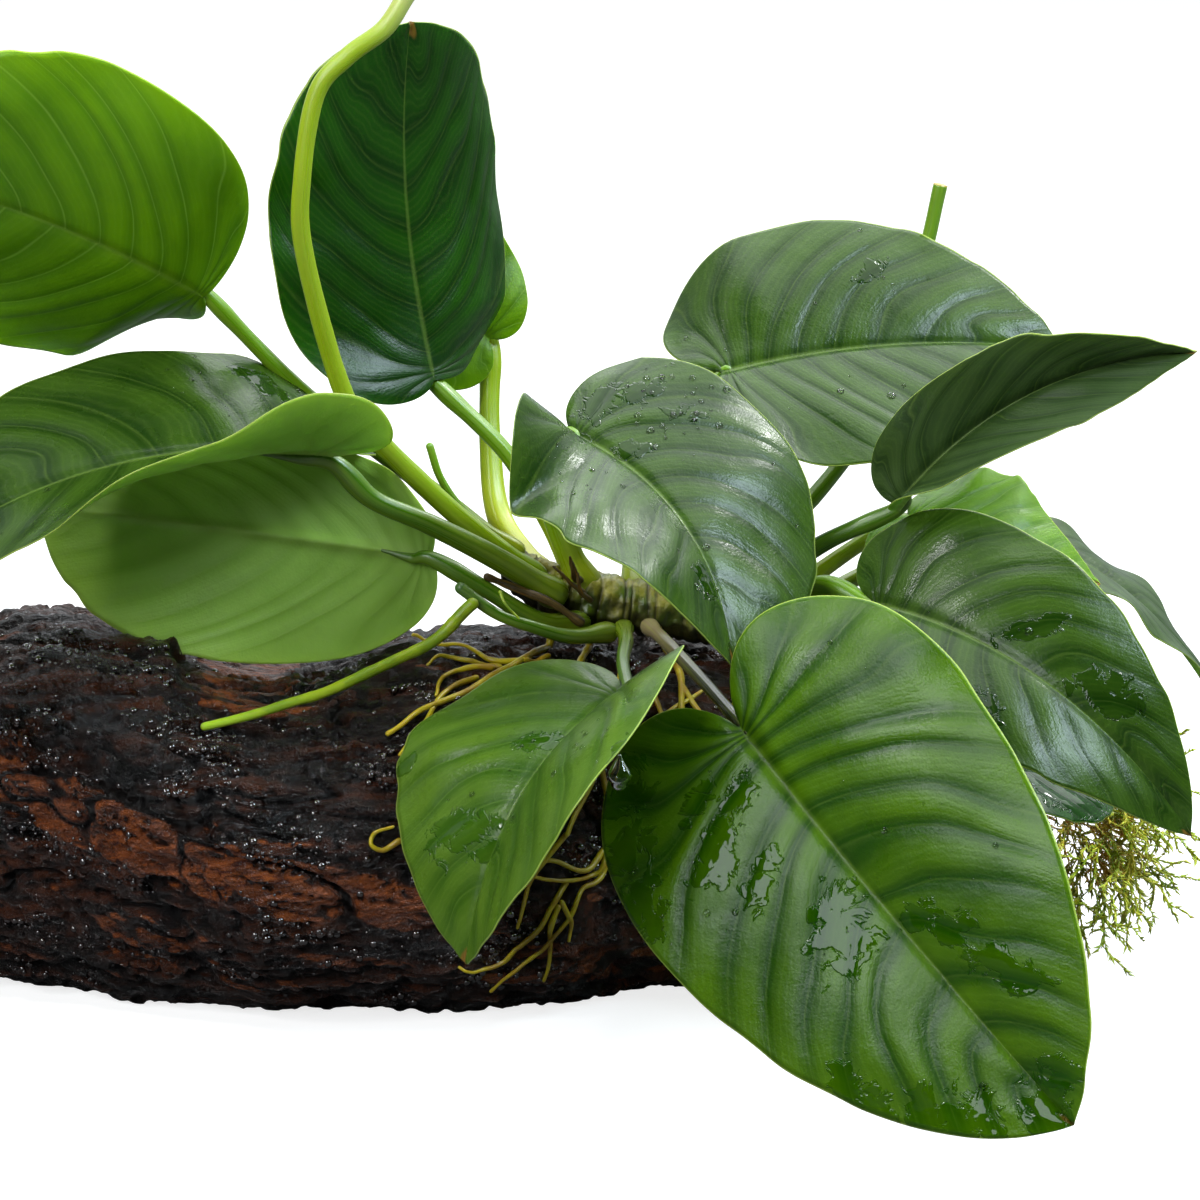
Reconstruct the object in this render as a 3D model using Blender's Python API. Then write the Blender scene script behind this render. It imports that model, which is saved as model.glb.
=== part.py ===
"""An anubias growing on a driftwood log: leaves on stalks, a creeping rhizome, roots and a tuft of moss.

Frame: metres, +Z up, the plant is seen from -Y. The origin is on the log's flat underside, below the
rhizome. Sizes in the tables are in millimetres and are turned into metres by at() and MM.
"""

import math
from collections import namedtuple

import bmesh
import bpy
from mathutils import Matrix, Vector, noise

MM = 0.001

# Driving dimensions, in millimetres
LEAF_THICKNESS = 1.0
MIDRIB_DEPTH = 1.3
RHIZOME_RADIUS = 7.2
ROOT_RADIUS = 0.9
ROOT_CLEARANCE = 1.2
GAP = 0.35

# How finely the solids are faceted
VEIN_ROWS = 10
VEIN_STEPS = 3
TUBE_STEPS = 3
TUBE_RESOLUTION = 1
LOG_RINGS = 30
LOG_SIDES = 18


def at(x, y, z):
    """A point given in millimetres."""
    return Vector((x, y, z)) * MM


def clear_scene():
    for old in list(bpy.data.objects):
        bpy.data.objects.remove(old)


def finish(name, colour, roughness):
    """A Principled material."""
    material = bpy.data.materials.new(name)
    material.use_nodes = True
    shader = material.node_tree.nodes["Principled BSDF"]
    shader.inputs["Base Color"].default_value = (*colour, 1.0)
    shader.inputs["Roughness"].default_value = roughness
    return material


def add_object(name, mesh, material):
    """A mesh object of its own, smooth where it is round."""
    mesh.shade_smooth()
    mesh.set_sharp_from_angle(angle=math.radians(50))
    mesh.materials.append(material)
    made = bpy.data.objects.new(name, mesh)
    bpy.context.scene.collection.objects.link(made)
    return made


def bezier(points, t):
    """A point on the Bezier curve with these three or four control points."""
    while len(points) > 1:
        points = [a.lerp(b, t) for a, b in zip(points, points[1:])]
    return points[0]


def smoothstep(low, high, value):
    t = min(1.0, max(0.0, (value - low) / (high - low)))
    return t * t * (3 - 2 * t)


def catmull_rom(points, t):
    """A point at t, from 0 to 1, on the smooth curve through the points."""
    spans = len(points) - 1
    i = min(int(t * spans), spans - 1)
    u = t * spans - i
    b, c = points[i], points[i + 1]
    a = points[i - 1] if i else b * 2 - c
    d = points[i + 2] if i + 2 <= spans else c * 2 - b
    return (b * 2 + (c - a) * u + (a * 2 - b * 5 + c * 4 - d) * u**2 + (b * 3 - a - c * 3 + d) * u**3) / 2


# ---------------------------------------------------------------- the log

# One row for each station along the log: x, centre y, centre z, half depth, half height
LOG_STATIONS = [
    (-216, 22, 47, 14, 16),
    (-209, 21, 46, 31, 32),
    (-190, 19, 45, 41, 43),
    (-150, 15, 46, 49, 49),
    (-115, 10, 43, 60, 47),
    (-88, 8, 40, 67, 45),
    (-45, 9, 43, 65, 50),
    (-15, 12, 42, 60, 50),
    (12, 16, 43, 46, 48),
    (45, 18, 44, 40, 45),
    (78, 18, 43, 33, 38),
    (102, 18, 41, 24, 29),
    (112, 18, 40, 11, 13),
]
# The section is a superellipse with this power. The lumps are drawn out along the log, and fade at its
# thin ends.
LOG_SQUARENESS = 2.5
LOG_LUMP = 5.0
LOG_LUMP_SIZE = 46.0
LOG_LUMP_STRETCH = 0.4
LOG_FULL_HEIGHT = 30.0


def log_station(x):
    """Centre y, centre z, half depth and half height of the log at x, eased between the stations."""
    for low, high in zip(LOG_STATIONS, LOG_STATIONS[1:]):
        if x <= high[0]:
            break
    straight = min(1.0, max(0.0, (x - low[0]) / (high[0] - low[0])))
    t = (smoothstep(low[0], high[0], x) + straight) / 2
    return [a + (b - a) * t for a, b in zip(low[1:], high[1:])]


def log_point(x, turn):
    """The log's surface at x, turn degrees round from the top towards the front, flat underneath."""
    y, z, depth, height = log_station(x)
    c, s = math.cos(math.radians(turn)), math.sin(math.radians(turn))
    reach = (abs(s) ** LOG_SQUARENESS + abs(c) ** LOG_SQUARENESS) ** (-1 / LOG_SQUARENESS)
    out = Vector((0, -s * reach * depth, c * reach * height))
    sample = Vector((x * LOG_LUMP_STRETCH, out.y, out.z)) / LOG_LUMP_SIZE
    lump = LOG_LUMP * noise.noise(sample) * min(1.0, height / LOG_FULL_HEIGHT)
    out += out.normalized() * lump
    return at(x, y + out.y, max(0.0, z + out.z))


def log_out(x, turn, lift):
    """A point lifted off the log's surface by lift millimetres."""
    here = log_point(x, turn)
    along = log_point(x + 2, turn) - log_point(x - 2, turn)
    round_it = log_point(x, turn + 4) - log_point(x, turn - 4)
    return here + round_it.cross(along).normalized() * lift * MM


def loft(rings):
    """A closed mesh from rings with the same number of points, with a fan on each end."""
    shape = bmesh.new()
    made = [[shape.verts.new(p) for p in ring] for ring in rings]
    for low, high in zip(made, made[1:]):
        for i in range(len(low)):
            j = (i + 1) % len(low)
            shape.faces.new((low[i], low[j], high[j], high[i]))
    for ring in (made[0], made[-1]):
        middle = shape.verts.new(sum((v.co for v in ring), Vector()) / len(ring))
        for i, v in enumerate(ring):
            shape.faces.new((v, ring[(i + 1) % len(ring)], middle))
    bmesh.ops.recalc_face_normals(shape, faces=shape.faces)
    mesh = bpy.data.meshes.new("lofted")
    shape.to_mesh(mesh)
    shape.free()
    return mesh


def make_log(material):
    first, last = LOG_STATIONS[0][0], LOG_STATIONS[-1][0]
    rings = []
    for i in range(LOG_RINGS + 1):
        x = first + (last - first) * i / LOG_RINGS
        rings.append([log_point(x, 360 * k / LOG_SIDES) for k in range(LOG_SIDES)])
    return add_object("driftwood_log", loft(rings), material)


# ---------------------------------------------------------------- the rhizome

RHIZOME_LINE = [
    (-27, 13, 116),
    (-14, 14, 107),
    (0, 14, 103.5),
    (14, 14, 101),
    (30, 13, 98.5),
    (53, 12, 97.5),
]
RHIZOME_RINGS = 24
RHIZOME_SIDES = 10


def rhizome_mesh(extra=0.0):
    """The creeping stem: thick in the middle, blunt at both ends, ringed by old leaf scars."""
    line = [at(*p) for p in RHIZOME_LINE]
    rings = []
    for i in range(RHIZOME_RINGS + 1):
        t = i / RHIZOME_RINGS
        here = catmull_rom(line, t)
        ahead = (catmull_rom(line, min(1, t + 0.01)) - catmull_rom(line, max(0, t - 0.01))).normalized()
        side = ahead.cross(Vector((0, 0, 1))).normalized()
        up = side.cross(ahead)
        blunt = 0.25 + 0.75 * math.sqrt(max(0.0, 1 - abs(2 * t - 1) ** 5))
        scar = 1 + 0.05 * (i % 3 - 1)
        radius = (RHIZOME_RADIUS * blunt * scar * (0.85 + 0.15 * smoothstep(0, 0.35, t)) + extra) * MM
        turns = [2 * math.pi * k / RHIZOME_SIDES for k in range(RHIZOME_SIDES)]
        rings.append([here + (side * math.cos(a) + up * math.sin(a)) * radius for a in turns])
    return loft(rings)


def cutter(name, mesh):
    """A hidden helper that Booleans cut with."""
    made = bpy.data.objects.new(name, mesh)
    bpy.context.scene.collection.objects.link(made)
    made.hide_render = True
    made.display_type = "WIRE"
    return made


def cut_by(piece, other):
    trim = piece.modifiers.new("seat", "BOOLEAN")
    trim.operation = "DIFFERENCE"
    trim.object = other


# ---------------------------------------------------------------- the leaves

# base: where the stalk meets the blade. tip: its far end. face: the way the upper side looks.
# twist: degrees that it turns about the midrib from base to tip.
# arch and sweep: how far the midrib bows up, and to its right.
# The pairs are for the left and the right side, seen from above with the tip pointing away.
# wide: from the midrib to the margin. widest: how far along the midrib that is, as a share of its length.
# full: 0 for a pointed end, 1 for a blunt one. lobe: how far the rear lobes reach back.
# fold and curl: degrees that a side turns up at the midrib, and from there to its margin.
# lift: extra degrees that a rear lobe turns up.
# wave and ripples: the height and number of the margin's waves.
LEAF_FIELDS = "base tip face twist arch sweep wide widest full lobe fold curl lift wave ripples"
Leaf = namedtuple("Leaf", LEAF_FIELDS)

LEAVES = {
    "leaf_front_large": Leaf(
        (35.3, -66, 90.4), (114.9, -130, 8.2), (-0.37, -0.87, 0.32), 5, 1, 1, (53, 53), 0.2, 0.53,
        (20, 20), (11, 10), (-20, -9), (-6, -9), 0.9, 3.4),
    "leaf_front_small": Leaf(
        (5.2, -54, 96.2), (-33.7, -92, 35.9), (-0.55, -0.49, 0.67), -2, 14, -2, (44, 44), 0.4, 0.34,
        (7, 9), (31, 8), (-12, -8), (5, 4), 1.2, 2.4),
    "leaf_centre": Leaf(
        (-7.8, -13, 156), (34, -58, 104), (0.22, -0.59, 0.78), -30, 7, -8, (44, 44), 0.37, 0.54,
        (9, 8), (14, 16), (-12, -24), (-8, 50), 1.2, 2.7),
    "leaf_lower_right": Leaf(
        (71.5, -22, 112), (152, -62, 60), (-0.06, -0.83, 0.55), -7, 18, -5, (33, 33), 0.22, 0.28,
        (12, 11), (9, 13), (-14, -5), (-3, 0), 0.8, 3.0),
    "leaf_right": Leaf(
        (79, -4, 134), (156, -16, 178), (-0.34, -0.87, 0.36), 56, 5, -9, (18, 18), 0.37, 0.4,
        (1, 1), (20, 50), (-14, 21), (-11, 21), 0.5, 3.0),
    "leaf_upper_right": Leaf(
        (33.2, 27, 164.7), (128.8, 48, 166.9), (0.13, -0.69, 0.71), 3, 2, -4, (44, 44), 0.37, 0.31,
        (12, 11), (8, 18), (-17, -14), (-29, 5), 0.6, 3.0),
    "leaf_back_right": Leaf(
        (85, 26, 125), (138, 22, 106), (0.21, -0.65, 0.73), -3, 4, 6, (28, 28), 0.38, 0.17,
        (4, 5), (8, 8), (-12, -20), (-17, 0), 0.8, 2.4),
    "leaf_far_right": Leaf(
        (121, 45, 114.5), (173, 36, 70), (0.56, -0.38, 0.73), -21, 5, -4, (17, 17), 0.37, 0.28,
        (4, 5), (6, 10), (-19, -13), (-5, 0), 2.6, 2.2),
    "leaf_under_right": Leaf(
        (91, -24, 69), (137, -20, 57), (0.26, -0.39, 0.88), 11, 5, 1, (19, 19), 0.4, 0.83,
        (4, 4), (8, 11), (-20, -11), (0, 0), 0.6, 2.0),
    "leaf_tall": Leaf(
        (-45, 28, 162), (-50.5, 22, 260), (0.31, -0.95, -0.04), 4, -6, -3, (40, 40), 0.43, 0.8,
        (5, 1), (7, -14), (-3, -41), (14, -23), 1.5, 3.2),
    "leaf_back_upright": Leaf(
        (-31, 58, 168), (-66, 64, 231), (0.2, -0.97, 0.15), 4, 2, -6, (25, 23), 0.34, 0.4,
        (7, 5), (8, 4), (-15, -20), (0, 0), 1.2, 3.0),
    "leaf_upper_left": Leaf(
        (-106, 10, 187.5), (-194, -12, 226), (0.11, -0.95, -0.31), 10, 3, 6, (47, 47), 0.45, 0.6,
        (8, 1), (-10, 8), (-24, -15), (-32, -12), 0.8, 3.0),
    "leaf_left": Leaf(
        (-71.5, -22, 152.5), (-196, -52, 112), (-0.26, -0.18, 0.95), -45, 13, 12, (44, 44), 0.2, 0.19,
        (20, 13), (10, 7), (44, -1), (27, -30), 0.8, 3.0),
    "leaf_lower_left": Leaf(
        (-45.5, 1, 119), (-152, 12, 130), (0.1, 0.99, -0.05), 20, -3, -1, (28, 36), 0.51, 0.64,
        (1, 4), (6, 2), (2, 2), (-35, 5), 0.6, 3.0),
}

# The width of the notch just behind the stalk, and the share of the margin from there to the widest place
NOTCH = 2.4
LOBE_SHARE = 0.42
# The side veins up to this share of the margin all spring from the lowest bit of the midrib
FAN_SHARE = 0.36
FAN_LENGTH = 0.03


def outline(leaf, k, length, share):
    """The margin in the blade's own plane: share 0 is the notch at the stalk and share 1 is the tip.

    Two Bezier curves meet at the widest place: one goes round the rear lobe and one runs over the shoulder
    to the tip. The first sets off straight away from the stalk, so that no two side veins cross.
    """
    half, lobe, notch = leaf.wide[k] * MM, leaf.lobe[k] * MM, NOTCH * MM
    w, f = leaf.widest, leaf.full
    wide = Vector((w * length, half))
    if share < LOBE_SHARE:
        behind = Vector((-1.6 * lobe, notch + 0.2 * half))
        beside = Vector((-0.9 * lobe, half))
        start = behind * (0.5 * notch / behind.y)
        return bezier([start, behind, beside, wide], share / LOBE_SHARE)
    shoulder = Vector(((w + (1 - w) * (0.3 + 0.4 * f)) * length, half))
    point = Vector(((w + (1 - w) * (0.8 + 0.2 * f)) * length, (0.2 + 0.55 * f) * half))
    return bezier([wide, shoulder, point, Vector((length, 0.0))], (share - LOBE_SHARE) / (1 - LOBE_SHARE))


def vein_point(leaf, k, length, share, t):
    """A point in the plane, t along the side vein that ends at this share of the margin."""
    if share < FAN_SHARE:
        start = FAN_LENGTH * share / FAN_SHARE
    else:
        start = FAN_LENGTH + (0.995 - FAN_LENGTH) * (share - FAN_SHARE) / (1 - FAN_SHARE)
    foot, end = Vector((start * length, 0)), outline(leaf, k, length, share)
    bend = Vector((foot.x + 0.35 * (end.x - foot.x), 0.56 * end.y))
    return bezier([foot, bend, end], t)


def leaf_axes(leaf):
    """The leaf's length, and its ahead, right and up directions over its straight line from base to tip."""
    line = at(*leaf.tip) - at(*leaf.base)
    ahead = line.normalized()
    face = Vector(leaf.face)
    up = (face - ahead * face.dot(ahead)).normalized()
    return line.length, ahead, ahead.cross(up), up


def blade_point(leaf, right, share, t):
    """A point on the blade's middle surface, and the way the surface faces there.

    right says which side of the midrib it is on.
    """
    length, line, across, up = leaf_axes(leaf)
    base, tip = at(*leaf.base), at(*leaf.tip)
    k = 1 if right else 0
    lobe = leaf.lobe[k] * MM
    flat = vein_point(leaf, k, length, share, t)
    along = min(1.0, max(0.0, flat.x / length))
    bow = base.lerp(tip, 0.5) + (up * leaf.arch + across * leaf.sweep) * 2 * MM
    here = bezier([base, bow, tip], along)
    ahead = (bow - base).lerp(tip - bow, along).normalized()
    here += ahead * min(0.0, flat.x)
    face = Matrix.Rotation(math.radians(leaf.twist * along), 3, line) @ up
    side = ahead.cross(face).normalized()
    rise = side.cross(ahead)
    q = flat.y / (leaf.wide[k] * MM)
    turn = leaf.fold[k] + leaf.curl[k] * q / 2 + leaf.lift[k] * smoothstep(0.18 * length, -lobe, flat.x)
    turn = math.radians(turn)
    outwards = side if right else -side
    out = outwards * math.cos(turn) + rise * math.sin(turn)
    upwards = rise * math.cos(turn) - outwards * math.sin(turn)
    phase = 1.7 if right else 0.4
    ripple = leaf.wave * MM * q**2 * math.sin(2 * math.pi * leaf.ripples * flat.x / length + phase)
    return here + out * flat.y + rise * ripple, upwards


def blade_mesh(leaf):
    """The blade as one closed sheet, thicker under the midrib."""
    columns = list(range(-VEIN_STEPS, VEIN_STEPS + 1))
    shape = bmesh.new()
    top, bottom = [], []
    for r in range(VEIN_ROWS + 1):
        share = r / VEIN_ROWS
        for side, offset in ((top, 0.5), (bottom, -0.5)):
            row = []
            for c in columns:
                point, upwards = blade_point(leaf, c > 0, share, abs(c) / VEIN_STEPS)
                depth = LEAF_THICKNESS * offset
                if c == 0 and side is bottom:
                    depth -= MIDRIB_DEPTH * (1 - share)
                row.append(point + upwards * depth * MM)
            # Every vein meets at the tip, so its row is one vertex
            made = [shape.verts.new(p) for p in (row if r < VEIN_ROWS else row[:1])]
            side.append(made if r < VEIN_ROWS else made * len(columns))
    for grid in (top, bottom):
        for near, far in zip(grid, grid[1:]):
            for c in range(len(columns) - 1):
                corners = dict.fromkeys((near[c], near[c + 1], far[c + 1], far[c]))
                shape.faces.new(corners)
    rim_top, rim_bottom = [
        [row[0] for row in grid] + [row[-1] for row in reversed(grid[:-1])] + grid[0][-2:0:-1]
        for grid in (top, bottom)
    ]
    for i in range(len(rim_top)):
        j = (i + 1) % len(rim_top)
        shape.faces.new((rim_top[i], rim_top[j], rim_bottom[j], rim_bottom[i]))
    bmesh.ops.recalc_face_normals(shape, faces=shape.faces)
    mesh = bpy.data.meshes.new("blade")
    shape.to_mesh(mesh)
    shape.free()
    return mesh


def make_leaves(material):
    for name, leaf in LEAVES.items():
        add_object(name, blade_mesh(leaf), material)


# ---------------------------------------------------------------- stalks and roots

# The stalk's route from the rhizome to short of the leaf's base, and its radius at the foot and at the head
LEAF_STALKS = {
    "upper_left": ([(-19, 19, 110), (-33, 21, 122), (-49, 23, 134.5), (-80, 21, 159.5)], 2.9, 2.1),
    "left": ([(-13, 5, 108), (-28, -5, 120), (-45, -13, 131), (-60, -18, 139)], 3.4, 2.6),
    "lower_left": ([(-6, 7, 99), (-17, -1, 102), (-31, -3, 111)], 2.6, 2.3),
    "back_upright": ([(-16, 24, 107), (-28, 42, 120), (-31, 53, 141)], 3.8, 2.8),
    "tall": ([(-6, 24, 104), (-14, 28, 122), (-26, 28, 142)], 2.8, 2.2),
    "centre": ([(-4, 13, 108), (-9, 12, 119), (-13, 8, 134)], 4.0, 2.4),
    "upper_right": ([(10, 18, 105), (10, 26, 115), (17, 30, 137)], 3.4, 2.2),
    "right": ([(38, 12, 98), (43, 9, 108), (60, 3, 122)], 3.3, 2.2),
    "back_right": ([(47, 17, 100), (58, 21, 108), (72, 25, 117)], 2.7, 2.1),
    "lower_right": ([(44, 6, 99), (51, -3, 108), (60, -12, 114)], 3.8, 2.5),
    "front_large": ([(13.5, 6, 98), (18, -12, 98), (27, -38, 94.5)], 2.8, 2.2),
    "front_small": ([(6.5, 6, 97.5), (7, -10, 98), (6, -32, 98)], 2.5, 2.0),
    "far_right": ([(50, 18, 94), (68, 34, 103), (96, 43, 113)], 2.5, 2.0),
    "under_right": ([(41, 3, 93), (54, -10, 91), (74, -21, 80)], 2.3, 1.8),
}

# The shoots that carry no blade, in the same way
SHOOTS = {
    "flower_stalk": ([(-18, 8, 112), (-40, 4, 131), (-60.5, -3, 153.5), (-68.5, -6, 167),
                      (-77, -12, 203.5), (-77, -14, 223), (-73, -14, 244.5), (-65, -13, 254),
                      (-55.5, -11, 261), (-50, -10, 269)], 3.0, 2.4),
    "cut_stalk": ([(30, 20, 100), (40, 30, 112), (60, 44, 126), (79, 60, 150),
                   (91, 70, 187), (96, 71, 210)], 2.6, 2.0),
    "young_shoot": ([(-23, 13, 118), (-36, 11, 128), (-43, 11, 138), (-46, 11, 147)], 2.0, 1.1),
    "side_shoot": ([(2, 4, 97), (-8, -6, 98.5), (-19, -12, 103), (-28, -14, 107),
                    (-37, -15, 114)], 2.3, 1.6),
    "old_sheath": ([(-6, 6, 111), (-7, 2, 114), (-8, -2, 119.5)], 1.8, 0.6),
}

# The thick root that creeps along the log from the side shoot, and its radius at each end
AERIAL_ROOT = [(-34, -17, 110), (-45, -22, 101), (-66, -31, 92.5), (-86, -38, 87), (-103, -42, 83.5)]
AERIAL_ROOT_RADII = (1.7, 1.1)

# Where each holding root leaves the rhizome, and where it runs on the log, in x and in degrees round from
# the top towards the front
HOLDING_ROOTS = [
    (-12, [(-14, 4), (-24, 22), (-40, 34), (-56, 42)]),
    (-3, [(-3, 8), (-8, 30), (-14, 52), (-24, 68)]),
    (6, [(6, 8), (5, 32), (0, 56), (-9, 76)]),
    (18, [(18, 6), (22, 30), (20, 56), (14, 80)]),
    (32, [(34, 4), (42, 26), (50, 50), (52, 74)]),
    (10, [(12, -10), (18, -34), (30, -58), (34, -80)]),
]


def tube(points, radii):
    """A tapering tube through the points, from a bevelled curve with filled caps."""
    line = bpy.data.curves.new("tube", "CURVE")
    line.dimensions = "3D"
    line.bevel_depth = 1.0
    line.bevel_resolution = TUBE_RESOLUTION
    line.use_fill_caps = True
    spline = line.splines.new("POLY")
    count = (len(points) - 1) * TUBE_STEPS + 1
    spline.points.add(count - 1)
    for i, point in enumerate(spline.points):
        t = i / (count - 1)
        point.co = (*catmull_rom(points, t), 1.0)
        point.radius = radii[0] + (radii[1] - radii[0]) * smoothstep(0.0, 0.8, t)
    guide = bpy.data.objects.new("tube", line)
    bpy.context.scene.collection.objects.link(guide)
    graph = bpy.context.evaluated_depsgraph_get()
    mesh = bpy.data.meshes.new_from_object(guide.evaluated_get(graph))
    bpy.data.objects.remove(guide)
    mesh.materials.clear()
    shape = bmesh.new()
    shape.from_mesh(mesh)
    bmesh.ops.remove_doubles(shape, verts=shape.verts, dist=0.00001)
    bmesh.ops.recalc_face_normals(shape, faces=shape.faces)
    shape.to_mesh(mesh)
    shape.free()
    return mesh


def stalk_head(leaf, before, radius):
    """Where a stalk of this radius, coming from before, ends just short of the leaf's underside."""
    length, ahead, side, up = leaf_axes(leaf)
    base = at(*leaf.base)
    run = (base - before).normalized()
    lean = math.sqrt(max(0.0, 1 - run.dot(up) ** 2))
    drop = (LEAF_THICKNESS / 2 + MIDRIB_DEPTH + GAP + radius * lean) * MM
    return base - up * drop - ahead * radius * 0.5 * MM


def make_stalks(material, rhizome_space):
    for name, (route, foot, head) in LEAF_STALKS.items():
        points = [at(*p) for p in route]
        points.append(stalk_head(LEAVES["leaf_" + name], points[-1], head))
        stalk = add_object("stalk_" + name, tube(points, (foot * MM, head * MM)), material)
        cut_by(stalk, rhizome_space)
    for name, (route, foot, head) in SHOOTS.items():
        shoot = add_object(name, tube([at(*p) for p in route], (foot * MM, head * MM)), material)
        cut_by(shoot, rhizome_space)


def make_roots(material, rhizome_space):
    thick = tube([at(*p) for p in AERIAL_ROOT], [r * MM for r in AERIAL_ROOT_RADII])
    add_object("aerial_root", thick, material)
    radii = (ROOT_RADIUS * MM, ROOT_RADIUS * MM * 0.8)
    for i, (foot_x, stations) in enumerate(HOLDING_ROOTS):
        towards_front = math.copysign(3, stations[1][1])
        points = [at(foot_x, 14 - towards_front, 99)]
        points += [log_out(x, turn, ROOT_RADIUS + ROOT_CLEARANCE) for x, turn in stations]
        root = add_object(f"holding_root_{i + 1}", tube(points, radii), material)
        cut_by(root, rhizome_space)


# ---------------------------------------------------------------- the flower bud and the moss

SPATHE_LENGTH = 34.0
SPATHE_RADIUS = 3.4
SPATHE_LEAN = 5.0
SPATHE_RINGS = 8
SPATHE_SIDES = 10


def make_spathe(material):
    """The closed flower bud at the end of its stalk."""
    route = [at(*p) for p in SHOOTS["flower_stalk"][0]]
    start = route[-1]
    ahead = (route[-1] - route[-2]).normalized()
    side = ahead.cross(Vector((0, 1, 0))).normalized()
    other = side.cross(ahead)
    rings = []
    for i in range(SPATHE_RINGS + 1):
        t = i / SPATHE_RINGS
        belly = 0.55 + 0.45 * math.sin(math.pi * min(1.0, t * 1.5 + 0.1))
        radius = SPATHE_RADIUS * belly * (1 - 0.85 * t**2.5) * MM
        lean = side * SPATHE_LEAN * t**2 * MM
        middle = start + ahead * (GAP + SPATHE_LENGTH * t) * MM + lean
        turns = [2 * math.pi * k / SPATHE_SIDES for k in range(SPATHE_SIDES)]
        rings.append([middle + (side * math.cos(a) + other * math.sin(a)) * radius for a in turns])
    add_object("flower_spathe", loft(rings), material)


MOSS_MIDDLE = (132, 18, 36)
MOSS_REACH = (19, 17, 31)


def make_moss(material):
    """The dense heart of the moss tuft tied to the log's end."""
    shape = bmesh.new()
    bmesh.ops.create_icosphere(shape, subdivisions=3, radius=1.0)
    for v in shape.verts:
        lump = 1 - 0.12 * abs(noise.noise(v.co * 2.2))
        v.co = Vector([m + r * c * lump for m, r, c in zip(MOSS_MIDDLE, MOSS_REACH, v.co)]) * MM
    mesh = bpy.data.meshes.new("moss")
    shape.to_mesh(mesh)
    shape.free()
    add_object("moss_tuft", mesh, material)


def main():
    clear_scene()
    wood = finish("wet_driftwood", (0.06, 0.03, 0.02), 0.35)
    leaf_green = finish("leaf_green", (0.04, 0.14, 0.03), 0.3)
    stalk_green = finish("stalk_green", (0.2, 0.33, 0.04), 0.4)
    spathe_cream = finish("spathe_cream", (0.62, 0.68, 0.36), 0.45)
    root_yellow = finish("root_yellow", (0.35, 0.33, 0.05), 0.5)
    rhizome_olive = finish("rhizome_olive", (0.2, 0.19, 0.04), 0.5)
    moss_green = finish("moss_green", (0.16, 0.2, 0.02), 0.8)

    make_log(wood)
    add_object("rhizome", rhizome_mesh(), rhizome_olive)
    rhizome_space = cutter("rhizome_space", rhizome_mesh(GAP))
    make_stalks(stalk_green, rhizome_space)
    make_roots(root_yellow, rhizome_space)
    make_leaves(leaf_green)
    make_spathe(spathe_cream)
    make_moss(moss_green)


main()
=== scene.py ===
# %% [markdown]
# # An anubias on driftwood
#
# Anubias is an aquarium plant with thick, waxy leaves on long stalks. It creeps over wood and stone on a
# rhizome and holds on with its roots. This lesson builds one, wet from the tank, on a log of dark bogwood with
# a tuft of moss at its end.
#
# The simple solids of every part were made before and are loaded as a frame. Each cell below builds the part
# that replaces one of them, in the same place, with the detail of the real thing.

# %% Load the frame
import itertools
import math
from collections import namedtuple

import bmesh
import bpy
import numpy as np
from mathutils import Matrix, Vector, noise


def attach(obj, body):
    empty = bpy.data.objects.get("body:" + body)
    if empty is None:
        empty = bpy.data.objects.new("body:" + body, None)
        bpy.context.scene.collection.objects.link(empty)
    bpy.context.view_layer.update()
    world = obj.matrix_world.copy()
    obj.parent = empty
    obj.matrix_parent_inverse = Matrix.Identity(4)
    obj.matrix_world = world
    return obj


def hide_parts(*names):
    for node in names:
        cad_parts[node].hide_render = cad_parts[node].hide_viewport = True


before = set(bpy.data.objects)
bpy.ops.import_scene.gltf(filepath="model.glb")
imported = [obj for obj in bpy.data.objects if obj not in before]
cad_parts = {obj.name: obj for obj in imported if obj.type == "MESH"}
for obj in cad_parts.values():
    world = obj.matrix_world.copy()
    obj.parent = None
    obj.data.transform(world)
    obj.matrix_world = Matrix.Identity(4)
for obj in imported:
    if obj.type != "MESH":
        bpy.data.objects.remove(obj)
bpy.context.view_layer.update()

MM = 0.001

# %% [markdown]
# ## Small tools
#
# Most parts here are sheets and tubes whose shape follows a rule, so they are made as whole arrays of points
# with NumPy. That is short to write and quick to run: a leaf of twelve thousand points takes a few
# milliseconds. Sizes are written in millimetres and turned into metres when a mesh is made.

# %% Curves and easing
def bezier(points, t):
    """Points on the Bezier curve with these control points, for one t or an array of them."""
    while len(points) > 1:
        points = [a + (b - a) * t for a, b in zip(points, points[1:])]
    return points[0]


def smoothstep(low, high, value):
    t = np.clip((value - low) / (high - low), 0.0, 1.0)
    return t * t * (3 - 2 * t)


def unit(vectors):
    return vectors / np.maximum(np.linalg.norm(vectors, axis=-1, keepdims=True), 1e-12)


def smooth_path(points, count):
    """count points, evenly spread in the curve's own time, on the smooth curve through the given points."""
    points = np.array(points, float)
    spans = len(points) - 1
    t = np.linspace(0, 1, count)
    i = np.minimum((t * spans).astype(int), spans - 1)
    u = (t * spans - i)[:, None]
    ends = np.vstack([points[0] * 2 - points[1], points, points[-1] * 2 - points[-2]])
    a, b, c, d = ends[i], ends[i + 1], ends[i + 2], ends[i + 3]
    return (b * 2 + (c - a) * u + (a * 2 - b * 5 + c * 4 - d) * u**2 + (b * 3 - a - c * 3 + d) * u**3) / 2


print("a quarter of the way from 0 to 8, eased:", 8 * smoothstep(0, 1, 0.25))

# %% [markdown]
# Bark, roots and leaves all need noise that is the same on every run. This one blends random values on a grid
# of cubes. The random values come from the cubes' own numbers, so there is no seed to forget.

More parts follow.
